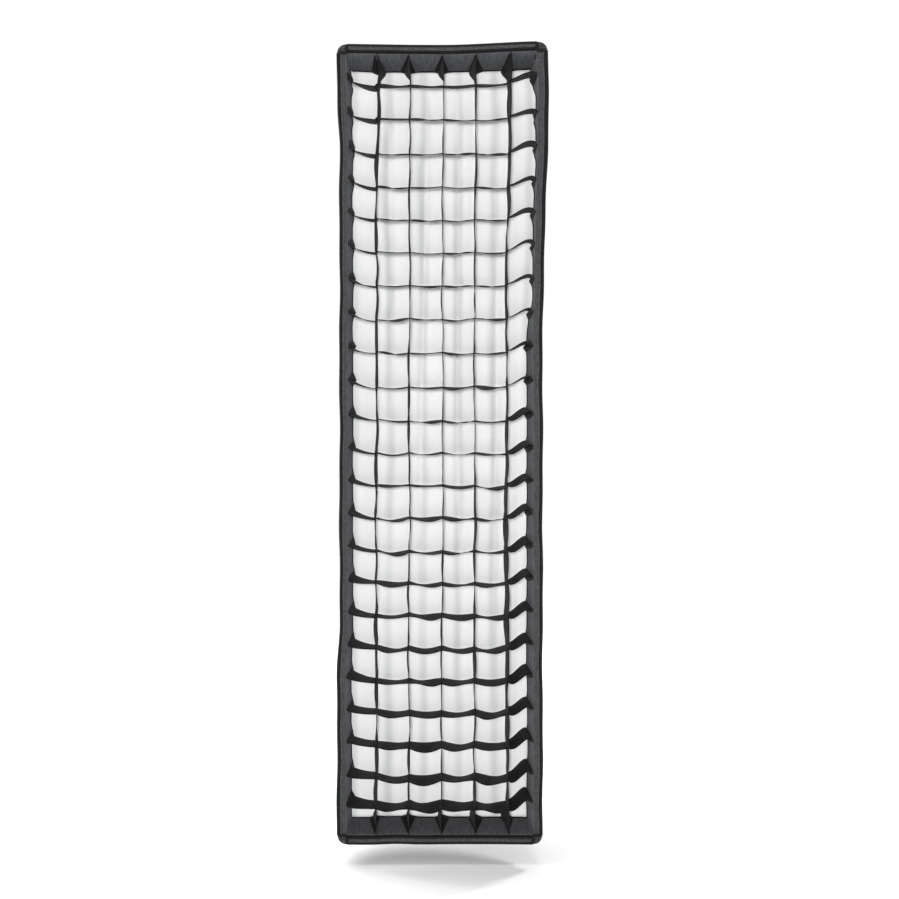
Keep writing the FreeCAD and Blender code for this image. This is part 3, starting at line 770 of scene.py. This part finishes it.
def corner_point(sx, sz, u, v):
    """A stitched corner patch: u and v run from its inner edges (0) to its outer ones (1)."""
    x = u * CORNER
    z = v * CORNER
    cx = CORNER - CORNER_R
    dx = max(x - cx, 0.0)
    dz = max(z - cx, 0.0)
    far = max(dx, dz)
    if far > 0:
        shrink = far / math.hypot(dx, dz)
        x = min(x, cx) + dx * shrink
        z = min(z, cx) + dz * shrink
    edge = max(u, v)
    dome = 0.6 * math.sin(math.pi * min(u, 0.9)) * math.sin(math.pi * min(v, 0.9))
    back = 0.5 + 9.0 * smooth((edge - 0.82) / 0.18) ** 2 - dome
    back += 0.35 * wobble(u * 5 + sx, v * 5 + sz, 2.0)
    px = RIM_HALF_W - CORNER + x
    pz = RIM_HALF_H - CORNER + z
    return slack((sx * px, RIM_Y + back * MM, sz * pz))


def corner_patch(corner):
    sx, sz = corner_sign(corner)
    steps = [1 - (1 - k / 22) ** 1.5 for k in range(23)]
    us = steps if sx * sz < 0 else steps[::-1]
    patch = surface("corner_patch_" + corner, us, steps, lambda u, v: corner_point(sx, sz, u, v))
    make_cloth(patch, 0.7 * MM, -1.0, "softbox", "webbing", [CORNER_CLOTH], ["corner_pocket_" + corner])
    proud = Vector((0, -0.9 * MM, 0))
    ts = spread(0.0, 0.86, 14)
    across = [corner_point(sx, sz, t, 0.06) + proud for t in ts]
    upright = [corner_point(sx, sz, 0.06, t) + proud for t in ts]
    inner_across = [corner_point(sx, sz, t, 0.48) + proud for t in spread(0.04, 0.98, 12)]
    parts = [tube_part(path, 2.5 * MM, 10) for path in (across, upright)]
    parts.append(tube_part(inner_across, 0.5 * MM, 6))
    dress(joined("corner_seams_" + corner, parts), "softbox", "binding_tape", PIPING)


# ---- rear collar
def collar_point(a, t):
    """a is the angle about Y; t from 0 at the shell to 1 at the elastic round the ring."""
    cos_a, sin_a = math.cos(a), math.sin(a)
    reach = min(REAR_HALF_W / max(abs(cos_a), 1e-6), REAR_HALF_H / max(abs(sin_a), 1e-6))
    ring = RING_R + 1.3 * MM
    flat = min(t / 0.55, 1.0)
    radius = mix(reach, ring + 1.0 * MM * (1 - smooth((t - 0.55) / 0.45)), smooth(flat) * 0.5 + flat * 0.5)
    y = REAR_Y + 0.4 * MM + smooth((t - 0.35) / 0.65) * 16.0 * MM
    height = 0.7 + 0.9 * wobble(cos_a * 3, sin_a * 3, 2.0 + t)
    pleat = math.sin(a * 37 + 2.4 * math.sin(a * 3 + 1) + 1.6 * math.sin(a * 8)) * smooth(t / 0.3) * height
    shallow = (1 - smooth((t - 0.75) / 0.25)) * 0.5 + 0.5
    radius += 0.8 * MM * pleat * shallow * smooth(t)
    y += 0.8 * MM * pleat * (1 - smooth((t - 0.5) / 0.5)) * smooth(t / 0.4)
    return Vector((radius * cos_a, y, radius * sin_a))


def rear_collar():
    angles = [2 * math.pi * k / 440 for k in range(440)]
    collar = surface("collar_cloth", angles, spread(1.0, 0.0, 19), collar_point, wrap=True)
    make_cloth(collar, 0.8 * MM, 0.0, "softbox", "shell_cloth", [SHELL], ["rear_collar"])

    def elastic_point(k, v):
        a = 2 * math.pi * k / 360
        bulge = 0.5 * MM * math.sqrt(max(1 - v * v, 0.0))
        radius = RING_R + (2.7 + 0.25 * math.sin(a * 60)) * MM + bulge
        return Vector((radius * math.cos(a), RING_FRONT_Y + 0.2 * MM + v * 2.8 * MM, radius * math.sin(a)))

    elastic = surface("elastic_cord", range(360), spread(-1, 1, 9), elastic_point, wrap=True)
    make_cloth(elastic, 0.9 * MM, 0.0, "softbox", "elastic_band", [ELASTIC], ["collar_elastic"])


# ---- tapes and tabs inside the shell
def tape_pad(name, centre, half_u, half_v, u_dir, v_dir, thickness, body, node):
    """A straight length of hook or loop tape with soft edges."""
    out = u_dir.cross(v_dir)

    def point(u, v):
        lift = 0.2 * MM * wobble(u * 2, v * 9, centre.z * 30)
        corner = 1 - 0.06 * max(abs(u) - 0.8, 0) * max(abs(v) - 0.8, 0) * 25
        return slack(centre + u_dir * (u * half_u * corner) + v_dir * (v * half_v * corner) + out * lift)

    pad = surface(name, spread(-1, 1, 9), spread(-1, 1, int(half_v / 0.004) | 1), point)
    make_cloth(pad, thickness, 0.0, body, "hook_and_loop", [PILE], [node])


def lip_tapes():
    low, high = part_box("lip_loop_tapes")
    middle_y = (low.y + high.y) / 2
    half = (high.y - low.y) / 2
    slope = (half_h(middle_y - half) - half_h(middle_y + half)) / (2 * half)
    for where, axis, sign in SIDES:
        gap, u_dir, v_dir = 3.0 * MM, Y, Z
        if axis == "z":
            gap, u_dir, v_dir = 2.4 * MM, Vector((0, 1, -sign * slope)).normalized(), X
        out = halves(axis, middle_y)[0] - CLOTH_T - gap
        centre = Vector(placed(axis, sign, out, middle_y, 0))
        tape_pad("loop_tape_" + where, centre, half, TAPE_HALF[axis], u_dir, v_dir, 1.6 * MM,
                 "softbox", "lip_loop_tapes")


BAFFLE_STRAP_PLACES = (-0.360, -0.120, 0.120, 0.360)
STRAP_HALF = 12.0 * MM


def wall_point(axis, sign, y, along, inside):
    """A point inside a panel's inner face."""
    on_panel = panel_point(axis, sign, y, along / halves(axis, y)[1])
    return on_panel - outward(axis, sign, y) * (CLOTH_T + inside)


def wall_reach(axis, sign, y, along):
    """How far a strap may reach towards the panel without going through its tab."""
    wall = wall_point(axis, sign, y, along, TAB_GAP)
    return abs(wall.x if axis == "x" else wall.z)


def baffle_tab(number, where, axis, sign, along):
    """A loop tab sewn to the inside of the shell, where a strap presses on."""
    us = spread(-10.0, 10.0, 9)
    vs = spread(-15.0, 15.0, 13)
    tab = surface("baffle_tab_%02d" % number, us, vs,
                  lambda u, v: wall_point(axis, sign, BAFFLE_Y + u * MM, along + v * MM, 0.9 * MM))
    make_cloth(tab, 1.2 * MM, 0.0, "softbox", "webbing", [PILE], ["baffle_loop_tabs"])


def baffle_strap(number, axis, sign, along):
    """A strap from the baffle's edge to its tab, turned up at the end to lie on the tab."""
    end = wall_reach(axis, sign, BAFFLE_Y, along)
    start = (BAFFLE_HALF_W if axis == "x" else BAFFLE_HALF_H) - STRAP_OVERLAP

    def point(u, v):
        across = along + v * STRAP_HALF
        flat = min(u / STRAP_FLAT, 1.0)
        bend = max(u - STRAP_FLAT, 0.0) / STRAP_BENT * math.pi / 2
        reach = mix(start, end - STRAP_TURN * 0.6, flat) + STRAP_TURN * 0.6 * math.sin(bend)
        sag = 0.8 * MM * math.sin(math.pi * flat) * (1 - 0.3 * v * v)
        y = BAFFLE_Y + 1.1 * MM + sag + STRAP_TURN * (1 - math.cos(bend))
        return Vector(placed(axis, sign, min(reach, wall_reach(axis, sign, y, across)), y, across))

    strap = surface("baffle_strap_%02d" % number, spread(0, 1, 25), spread(-1, 1, 7), point)
    make_cloth(strap, 0.9 * MM, 0.0, "baffle", "webbing", [WEBBING], ["baffle_straps"])


def baffle_fixings():
    places = [(where, "x", sign, z) for z in BAFFLE_STRAP_PLACES for where, axis, sign in SIDES[:2]]
    places += [(where, "z", sign, 0.0) for where, axis, sign in SIDES[2:]]
    for number, (where, axis, sign, along) in enumerate(places, 1):
        baffle_strap(number, axis, sign, along)
        baffle_tab(number, where, axis, sign, along)


# ---- diffusers
FOLDS = ((-118, 1.8, 7), (-81, 5.0, 6.5), (-64, 1.4, 7), (-26, 6.8, 6.5), (-8, 1.8, 6), (28, 6.8, 6.5),
         (44, 1.8, 7), (83, 5.6, 6.5), (96, 1.8, 5), (120, 3.2, 7))


def fold_depth(x, z):
    """Soft upright folds where the cloth hangs a little loose between its edges."""
    depth = 0.0
    for place, size, width in FOLDS:
        drift = 3.0 * math.sin(z * 3.1 + place) + 2.0 * math.sin(z * 7.3 + size * 9)
        fade = 0.55 + 0.45 * math.sin(z * 4.3 + place * 0.7)
        away = (x / MM - place - drift) / width
        depth += size * fade * math.exp(-away * away)
    edge = smooth((DIFFUSER_HALF_W - abs(x)) / 0.014) * smooth((DIFFUSER_HALF_H - abs(z)) / 0.05)
    return (depth * edge - 1.0) * MM


def front_diffuser():
    xs = spread(-1, 1, 261)
    zs = spread(-1, 1, 161)

    def point(u, v):
        x, z = u * DIFFUSER_HALF_W, v * (DIFFUSER_HALF_H - 0.3 * MM)
        y = DIFFUSER_Y + 1.2 * MM + fold_depth(x, z) + 0.5 * MM * wobble(x * 20, z * 6, 1.0)
        return slack((x, y, z))

    cloth = surface("diffuser_cloth", xs, zs, point)
    make_cloth(cloth, DIFFUSER_T, 0.0, "diffuser", "diffuser_cloth", [WHITE], ["front_diffuser"])
    for where, axis, sign in SIDES:
        edge, half_u, u_dir, v_dir = DIFFUSER_HALF_W, 2.6 * MM, X, Z
        if axis == "z":
            edge, half_u, u_dir, v_dir = DIFFUSER_HALF_H, 2.4 * MM, Z, X
        centre = Vector(placed(axis, sign, edge - 2.8 * MM, DIFFUSER_Y + 3.0 * MM, 0))
        tape_pad("hook_edge_" + where, centre, half_u, TAPE_HALF[axis], u_dir, v_dir, 0.9 * MM,
                 "diffuser", "diffuser_hook_border")


# Section of the tape folded over the baffle's edge: (distance behind the cloth, distance inward), mm.
BIAS_SECTION = ((-1.0, 12.0), (-1.25, 6.0), (-1.2, 1.0), (-0.7, -0.3), (0.0, -0.7), (0.7, -0.3), (1.2, 1.0),
                (1.25, 6.0), (1.0, 12.0))


def inner_baffle():
    def point(u, v):
        z = v * BAFFLE_HALF_H
        x = u * (BAFFLE_HALF_W - max(abs(z) - (BAFFLE_HALF_H - BAFFLE_BEVEL), 0.0))
        wave = 1.6 * math.sin(x * 55 + 2 * math.sin(z * 6)) + 1.4 * wobble(x * 12, z * 5, 9.0)
        edge = (1 - u ** 6) * (1 - v ** 6)
        return Vector((x, BAFFLE_Y + wave * edge * MM, z))

    bevel_start = (BAFFLE_HALF_H - BAFFLE_BEVEL) / BAFFLE_HALF_H
    vs = sorted(set(spread(-1, 1, 121) + [-bevel_start, bevel_start]))
    cloth = surface("baffle_cloth", spread(-1, 1, 61), vs, point)
    make_cloth(cloth, DIFFUSER_T, 0.0, "baffle", "diffuser_cloth", [WHITE], ["inner_baffle"])
    w, h, c = BAFFLE_HALF_W, BAFFLE_HALF_H, BAFFLE_BEVEL
    ring = [(w, h - c), (w - c, h), (c - w, h), (-w, h - c)]
    ring += [(-x, -z) for x, z in ring]
    path = []
    for (ax, az), (bx, bz) in zip(ring, ring[1:] + ring[:1]):
        steps = max(int(math.hypot(bx - ax, bz - az) / 0.008), 4)
        path += [(mix(ax, bx, k / steps), mix(az, bz, k / steps)) for k in range(steps)]

    def tape_point(k, j):
        x, z = path[k]
        back, inward = BIAS_SECTION[j]
        y = BAFFLE_Y + (back + 0.2 * math.sin(k * 0.9)) * MM
        return Vector((x * (1 - inward * MM / w), y, z * (1 - inward * MM / h)))

    tape = surface("baffle_bias_tape", range(len(path)), range(len(BIAS_SECTION)), tape_point, wrap=True)
    make_cloth(tape, 0.4 * MM, 0.0, "baffle", "binding_tape", [PIPING], ["baffle_binding"])


# ---- grid
COLUMN_SLACK = (1.5, 1.5, 2.0, 2.6, 1.4)   # mm that each long strip hangs off its even place
COLUMN_FLARE = (1, -1, -1, -1, -1)         # side to which each long strip's end twists
COLUMN_TURN = (-1.6, -1.0, 0.3, 1.6, 3.4)  # mm that each long strip's front edge lies right of its back


def even_places(count):
    return [GRID_PITCH * (k - (count - 1) / 2) for k in range(count)]


def row_places():
    """Heights of the cross strips: they sink in the middle and crowd towards the ends."""
    places = []
    for z in even_places(ROWS):
        sink = 13.0 * smooth((0.36 - z) / 0.40) - 9.0 * smooth((-0.49 - z) / 0.05)
        rise = 7.5 * smooth((z - 0.40) / 0.15)
        places.append(z + (rise - sink) * MM)
    return places


def column_places():
    return [x + loose * MM for x, loose in zip(even_places(COLUMNS), COLUMN_SLACK)]


def band_half_w(sign, z, depth):
    """Half width inside the border at depth 0 (front) to 1 (back)."""
    lean = 3.6 * MM
    if sign > 0:
        lean = mix(7.2, 0.0, smooth((z - 0.17) / 0.06) * smooth((0.575 - z) / 0.03)) * MM
    row = (z / GRID_PITCH + 0.5) % 1.0 - 0.5
    grip = 2.6 * MM * math.exp(-((row * 50 - 1.0) / 7.0) ** 2)
    bay = 1.2 * MM * wobble(z * 13, sign * 5.0, 0.5)
    return BAND_HALF_W - depth * (lean + grip + bay)


def band_half_h(sign, x, depth):
    column = (x / GRID_PITCH + 0.5) % 1.0 - 0.5
    grip = 2.0 * MM * math.exp(-((column * 50 - 4.0) / 8.0) ** 2)
    bay = 1.4 * MM * wobble(x * 15, sign * 7.0, 3.5)
    return BAND_HALF_H - depth * (BAND_TAPER_H + grip + bay)


def band_y(depth):
    return mix(GRID_FRONT_Y, GRID_BACK_Y, depth)


def border_spot(axis, sign, place, depth, lift):
    """A point of the border at a place along one side, moved inwards by lift."""
    half = band_half_w if axis == "x" else band_half_h
    return placed(axis, sign, half(sign, place, depth) - lift, band_y(depth), place)


def border_point(axis, sign, t, depth, lift):
    """The same with the front's slack, where t runs along the side from -1 to 1."""
    reach = BAND_HALF_H - depth * BAND_TAPER_H if axis == "x" else BAND_HALF_W - depth * BAND_TAPER_W
    return slack(border_spot(axis, sign, t * reach, depth, lift))


def border_band():
    """The charcoal border of the grid: one strip sewn into a loop, leaning in at its back."""
    loop = []
    for axis, sign, count in (("x", 1, 239), ("z", 1, 61), ("x", -1, 239), ("z", -1, 61)):
        start = -sign if axis == "x" else sign
        loop += [(axis, sign, t) for t in spread(start, -start, count)[:-1]]

    def point(k, depth):
        return border_point(*loop[k], depth, -math.sin(math.pi * depth) * 0.8 * MM)

    band = surface("grid_border", range(len(loop)), spread(0, 1, 13), point, wrap=True)
    nodes = ["grid_band_top", "grid_band_bottom", "grid_band_left", "grid_band_right"]
    make_cloth(band, 1.2 * MM, 0.0, "grid", "band_cloth", [BAND], nodes)


def cell_noise(count, size):
    return [random.uniform(-size, size) for _ in range(count)]


def long_strip(number, x0):
    """One strip along Z. Its front and back edges twist a little differently in every cell."""
    rows = row_places()
    front_node = cell_noise(ROWS + 2, 0.9)
    back_node = cell_noise(ROWS + 2, 0.9)
    loose = 1.5 if number in (0, COLUMNS - 1) else 1.0
    front_belly = cell_noise(ROWS + 2, 1.9 * loose)
    back_belly = cell_noise(ROWS + 2, 1.4 * loose)
    flare = COLUMN_FLARE[number]

    def edge(z, nodes, bellies):
        place = (z - rows[0]) / GRID_PITCH + 1
        k = min(max(int(math.floor(place)), 0), ROWS)
        t = min(max(place - k, 0.0), 1.0)
        base = mix(nodes[k], nodes[k + 1], smooth(t))
        return base + bellies[k] * math.sin(math.pi * t)

    def point(v, depth):
        z = v * (BAND_HALF_H - 0.4 * MM - depth * (BAND_TAPER_H - 0.5 * MM))
        wander = (2.6 * wobble(z * 4, number * 3.7, 0.3) + 2.2 * smooth((z - 0.25) / 0.3)) * MM
        turn = COLUMN_TURN[number] * MM * (0.7 + 0.9 * wobble(z * 9, number * 2.3, 5.1))
        front = x0 * 1.003 + turn / 2 + wander + edge(z, front_node, front_belly) * MM
        back = x0 * 1.003 - turn / 2 + wander + edge(z, back_node, back_belly) * MM
        top = z - rows[-1]
        low = rows[0] - z
        end_top = smooth((top - 6 * MM) / 0.014) * smooth((0.050 - top) / 0.020)
        end_low = smooth((low - 8 * MM) / 0.014) * smooth((0.046 - low) / 0.020)
        back += flare * 9.0 * MM * end_top - 5.0 * MM * end_low
        x = mix(front, back, depth) + 0.5 * MM * math.sin(math.pi * depth) * edge(z, back_node, front_belly)
        return slack((x, band_y(depth), z))

    strip = surface("long_strip_%d" % (number + 1), spread(-1, 1, 401), spread(0, 1, 9), point)
    make_cloth(strip, STRIP_T, 0.0, "grid", "grid_cloth", [STRIP], ["grid_vertical_%d" % (number + 1)])


def left_end(t, low):
    """Height in mm of a cross strip between the left border (t 0) and the first long strip (t 1)."""
    return (12.5 - 3.5 * low ** 2) * (1 - t) ** 2.2 - 2.5 * (1 - low) * smooth(t)


def right_end(t, low):
    """Height in mm between the last long strip (t 0) and the right border (t 1)."""
    start = mix(4.0, 1.5, low)
    peak = mix(13.0, 19.0, low)
    rise = smooth((t - 0.12 * low) / (0.72 - 0.12 * low))
    fall = smooth((t - 0.74) / 0.26)
    return start + (peak - start) * rise - mix(5.0, 8.0, low) * fall


def cross_strip(number, z0):
    """One short strip. It sags between the long strips and its front edge droops."""
    columns = column_places()
    low = min(max(0.5 - even_places(ROWS)[number] / (1.8 * RIM_HALF_H), 0.0), 1.0)
    droop = 1.6 + 8.0 * min(max((z0 + 0.10) / 0.65, 0.0), 1.0)
    lean = [mix(0.62, 1.0, smooth(k / 2.0)) for k in range(COLUMNS + 2)]
    droop += {0: 2.6, ROWS - 1: -1.5}.get(number, 0)
    left_lift = [3.8 * low ** 2 * (1 - smooth(k / 2.5)) for k in range(COLUMNS + 2)]
    sag_front = [random.uniform(0.4, 1.5) * mix(1.2, 5.0, low) for _ in range(COLUMNS + 1)]
    sag_back = [random.uniform(0.4, 1.5) * mix(1.2, 4.6, low) for _ in range(COLUMNS + 1)]
    twist = cell_noise(COLUMNS + 1, mix(1.5, 2.2, low))
    nodes = cell_noise(COLUMNS + 2, 1.6)
    wedge = random.uniform(3.0, 9.5)
    flag = random.uniform(0.8, 1.15) if low > 0.45 else random.uniform(-0.8, -0.25)
    toss = random.uniform(-1.8, 1.8)

    def heights(x):
        """(front, back) height in mm above z0 at x."""
        cell = sum(1 for c in columns if x > c)
        left = columns[cell - 1] if cell > 0 else -BAND_HALF_W
        right = columns[cell] if cell < COLUMNS else BAND_HALF_W
        t = min(max((x - left) / (right - left), 0.0), 1.0)
        base = mix(nodes[cell], nodes[cell + 1], smooth(t))
        bell = math.sin(math.pi * t)
        wave = math.sin(2 * math.pi * t)
        sink = droop * mix(lean[cell], lean[cell + 1], t) - mix(left_lift[cell], left_lift[cell + 1], t)
        front = base - sag_front[cell] * bell + twist[cell] * wave - sink
        back = base - sag_back[cell] * bell - 0.5 * twist[cell] * wave
        if cell == 0:
            rise = base + left_end(t, low)
            thick = mix(wedge, 1.2, smooth(t * 1.1))
            front = rise - sink - 0.5 * thick
            back = rise - sink * (0.75 - 0.2 * low) + 0.5 * thick
        if cell == COLUMNS:
            lens = math.sin(math.pi * min(t / 0.92, 1.0)) ** 0.8 * mix(6.5, 9.0, low) * flag
            rise = base + right_end(t, low) + toss * bell
            front = rise - sink * mix(1, 0.55, t) - 0.5 * lens
            back = rise - sink * mix(0, 0.25, t) + 0.5 * lens
        return front, back

    def point(u, depth):
        span = BAND_HALF_W - 0.5 * MM
        x = u * span
        side = 1 if u > 0 else -1
        pull = abs(u) ** 14
        x = mix(x, side * (band_half_w(side, z0, depth) - 0.6 * MM), pull)
        front, back = heights(u * span)
        z = z0 + (mix(front, back, smooth(depth) * 0.5 + depth * 0.5) - 0.6) * MM
        return slack((x, band_y(depth), z))

    strip = surface("cross_strip_%02d" % (number + 1), spread(-1, 1, 161), spread(0, 1, 9), point)
    make_cloth(strip, STRIP_T, 0.0, "grid", "grid_cloth", [STRIP], ["grid_cross_strips"])


def flap_part(apex, ridge, base, steps=8):
    """One curved triangle of cloth between an apex, a ridge end and a base corner."""
    verts, faces = [], []
    for i in range(steps + 1):
        start = apex.lerp(ridge, i / steps)
        end = apex.lerp(base, i / steps)
        verts += [slack(start.lerp(end, j / steps)) for j in range(steps + 1)]
    for i in range(steps):
        corners = [i * (steps + 1) + j for j in range(steps)]
        faces += [(a, a + 1, a + steps + 2, a + steps + 1) for a in corners]
    return verts, faces


def gusset(axis, sign, apex, ridge, corners):
    """Two folded triangles. apex is (place, depth, lift mm), ridge (place, lift mm), corners two places."""
    def spot(place, depth, lift):
        return Vector(border_spot(axis, sign, place, depth, lift * MM))

    fold = spot(ridge[0], 1.0, ridge[1])
    return [flap_part(spot(*apex), fold, spot(corner, 0.99, 1.3)) for corner in corners]


def end_tabs(where, sign):
    """Gussets that hold the ends of the long strips to the top or bottom border."""
    parts = []
    for number, x0 in enumerate(column_places()):
        outer = number in (0, COLUMNS - 1)
        width = (8.5 if outer else 12.0) * MM
        shift = x0 * 0.04 + COLUMN_FLARE[number] * (4.0 if outer and sign > 0 else 0.5) * MM
        corners = [x0 + side * width + shift for side in (-1, 1)]
        parts += gusset("z", sign, (x0 * 1.02, 0.02, 1.6), (x0 + shift, 4.0), corners)
    return joined("end_tabs_" + where, parts)


def side_tabs(where, sign):
    """Gussets that hold the ends of the cross strips to the left or right border."""
    parts = []
    for number, z0 in enumerate(row_places()):
        low = number / (ROWS - 1)
        height = left_end(0, 1 - low) if sign < 0 else right_end(1, 1 - low)
        z = z0 + (height - 3.0) * MM
        width = (7.5 + 1.6 * math.sin(number * 1.7 + sign) + (1.5 if sign < 0 else 0.0)) * MM
        parts += gusset("x", sign, (z - 1 * MM, 0.0, 0.6), (z, 4.5), (z - width, z + width * 1.25))
    return joined("side_tabs_" + where, parts)


def sewn_tabs():
    tabs = (end_tabs("top", 1), end_tabs("bottom", -1), side_tabs("right", 1), side_tabs("left", -1))
    for tab in tabs:
        solid_cloth(tab, 0.5 * MM, 0.0)
        dress(tab, "grid", "grid_cloth", STRIP)


def border_cord(name, axis, sign, depth, lift, radius):
    """Piping along one side of the border, at one depth."""
    ts = spread(-1, 1, 200 if axis == "x" else 60)
    path = [border_point(axis, sign, t, depth, lift) for t in ts]
    dress(joined(name, [tube_part(path, radius, 8)]), "grid", "binding_tape", PIPING)


# ---- room, light and camera
def studio_world():
    """White behind the object, and a dimmer even light on it so that the lamps give it shape."""
    world = bpy.data.worlds.new("studio")
    bpy.context.scene.world = world
    world.use_nodes = True
    tree = world.node_tree
    tree.nodes.clear()
    fade = add_node(tree, "MapRange", From_Min=-0.2, From_Max=0.7,
                    To_Min=WORLD_LIGHT, To_Max=WORLD_LIGHT_BEHIND)
    split = add_node(tree, "SeparateXYZ")
    light = add_node(tree, "Background", Color=(1, 1, 1, 1), Strength=WORLD_LIGHT)
    backdrop = add_node(tree, "Background", Color=(1, 1, 1, 1), Strength=WORLD_WHITE)
    blend = add_node(tree, "MixShader")
    for source, target in (
        (add_node(tree, "TexCoord").outputs["Generated"], split.inputs[0]),
        (split.outputs["Y"], fade.inputs["Value"]),
        (fade.outputs["Result"], light.inputs["Strength"]),
        (add_node(tree, "LightPath").outputs["Is Camera Ray"], blend.inputs[0]),
        (light.outputs[0], blend.inputs[1]),
        (backdrop.outputs[0], blend.inputs[2]),
        (blend.outputs[0], add_node(tree, "OutputWorld").inputs["Surface"]),
    ):
        tree.links.new(source, target)


def lamp(name, kind, place, energy, size):
    """An area lamp of size metres or a sun of size radians, aimed at the front of the object."""
    data = bpy.data.lights.new(name, kind)
    data.energy = energy
    if kind == "SUN":
        data.angle = size
    else:
        data.shape = "DISK"
        data.size = size
    obj = linked(name, data)
    centre = Vector((0, RIM_Y, 0))
    obj.location = centre + Vector(place)
    obj.rotation_euler = (centre - obj.location).to_track_quat("-Z", "Y").to_euler()


def studio():
    ends = (-FLOOR_HALF, FLOOR_HALF)
    floor = surface("floor", ends, ends, lambda x, y: Vector((x, y, -RIM_HALF_H - FLOOR_GAP)))
    s = Shader("pale_floor", 0.85)
    s.colour(s.ramp(s.noise(2), (0.93, 0.93, 0.93), (0.95, 0.95, 0.95)))
    floor.data.materials.append(s.material)
    studio_world()
    lamp("sun", "SUN", (-0.7, 0.5, 2.2), 2.6, 0.9)
    lamp("front", "AREA", (-0.12, -3.0, 0.15), 60.0, 0.45)
    lamp("rear", "AREA", (1.9, 2.0, 1.9), 62.0, 0.6)
    lamp("rear_left", "AREA", (-2.8, 1.4, 0.5), 40.0, 0.5)
    bpy.context.scene.view_settings.view_transform = "Standard"


def camera():
    data = bpy.data.cameras.new("camera")
    data.lens = SENSOR_W * RIM_SHARE * CAMERA_DISTANCE / (2 * RIM_HALF_H)
    data.sensor_width = SENSOR_W
    obj = linked("camera", data)
    obj.location = (CAMERA_ASIDE, RIM_Y - CAMERA_DISTANCE, -CAMERA_BELOW)
    obj.rotation_euler = (math.pi / 2, 0, 0)
    bpy.context.scene.camera = obj


camera()
studio()
paint_cad_nodes()
for where, axis, sign in SIDES:
    shell_panel(where, axis, sign)
    front_lip(where, axis, sign)
    lip_seam_tape(where, axis, sign)
    rim_hem(where, axis, sign)
for corner in CORNERS:
    seam_piping(corner)
    corner_patch(corner)
rear_collar()
lip_tapes()
baffle_fixings()
front_diffuser()
inner_baffle()
border_band()
for where, axis, sign in SIDES:
    border_cord("border_back_piping_" + where, axis, sign, 1.0, 0.9 * MM, 0.9 * MM)
    if axis == "z":
        border_cord("border_front_piping_" + where, axis, sign, 0.0, 0.0, 0.8 * MM)
for number, x0 in enumerate(column_places()):
    long_strip(number, x0)
for number, z0 in enumerate(row_places()):
    cross_strip(number, z0)
sewn_tabs()
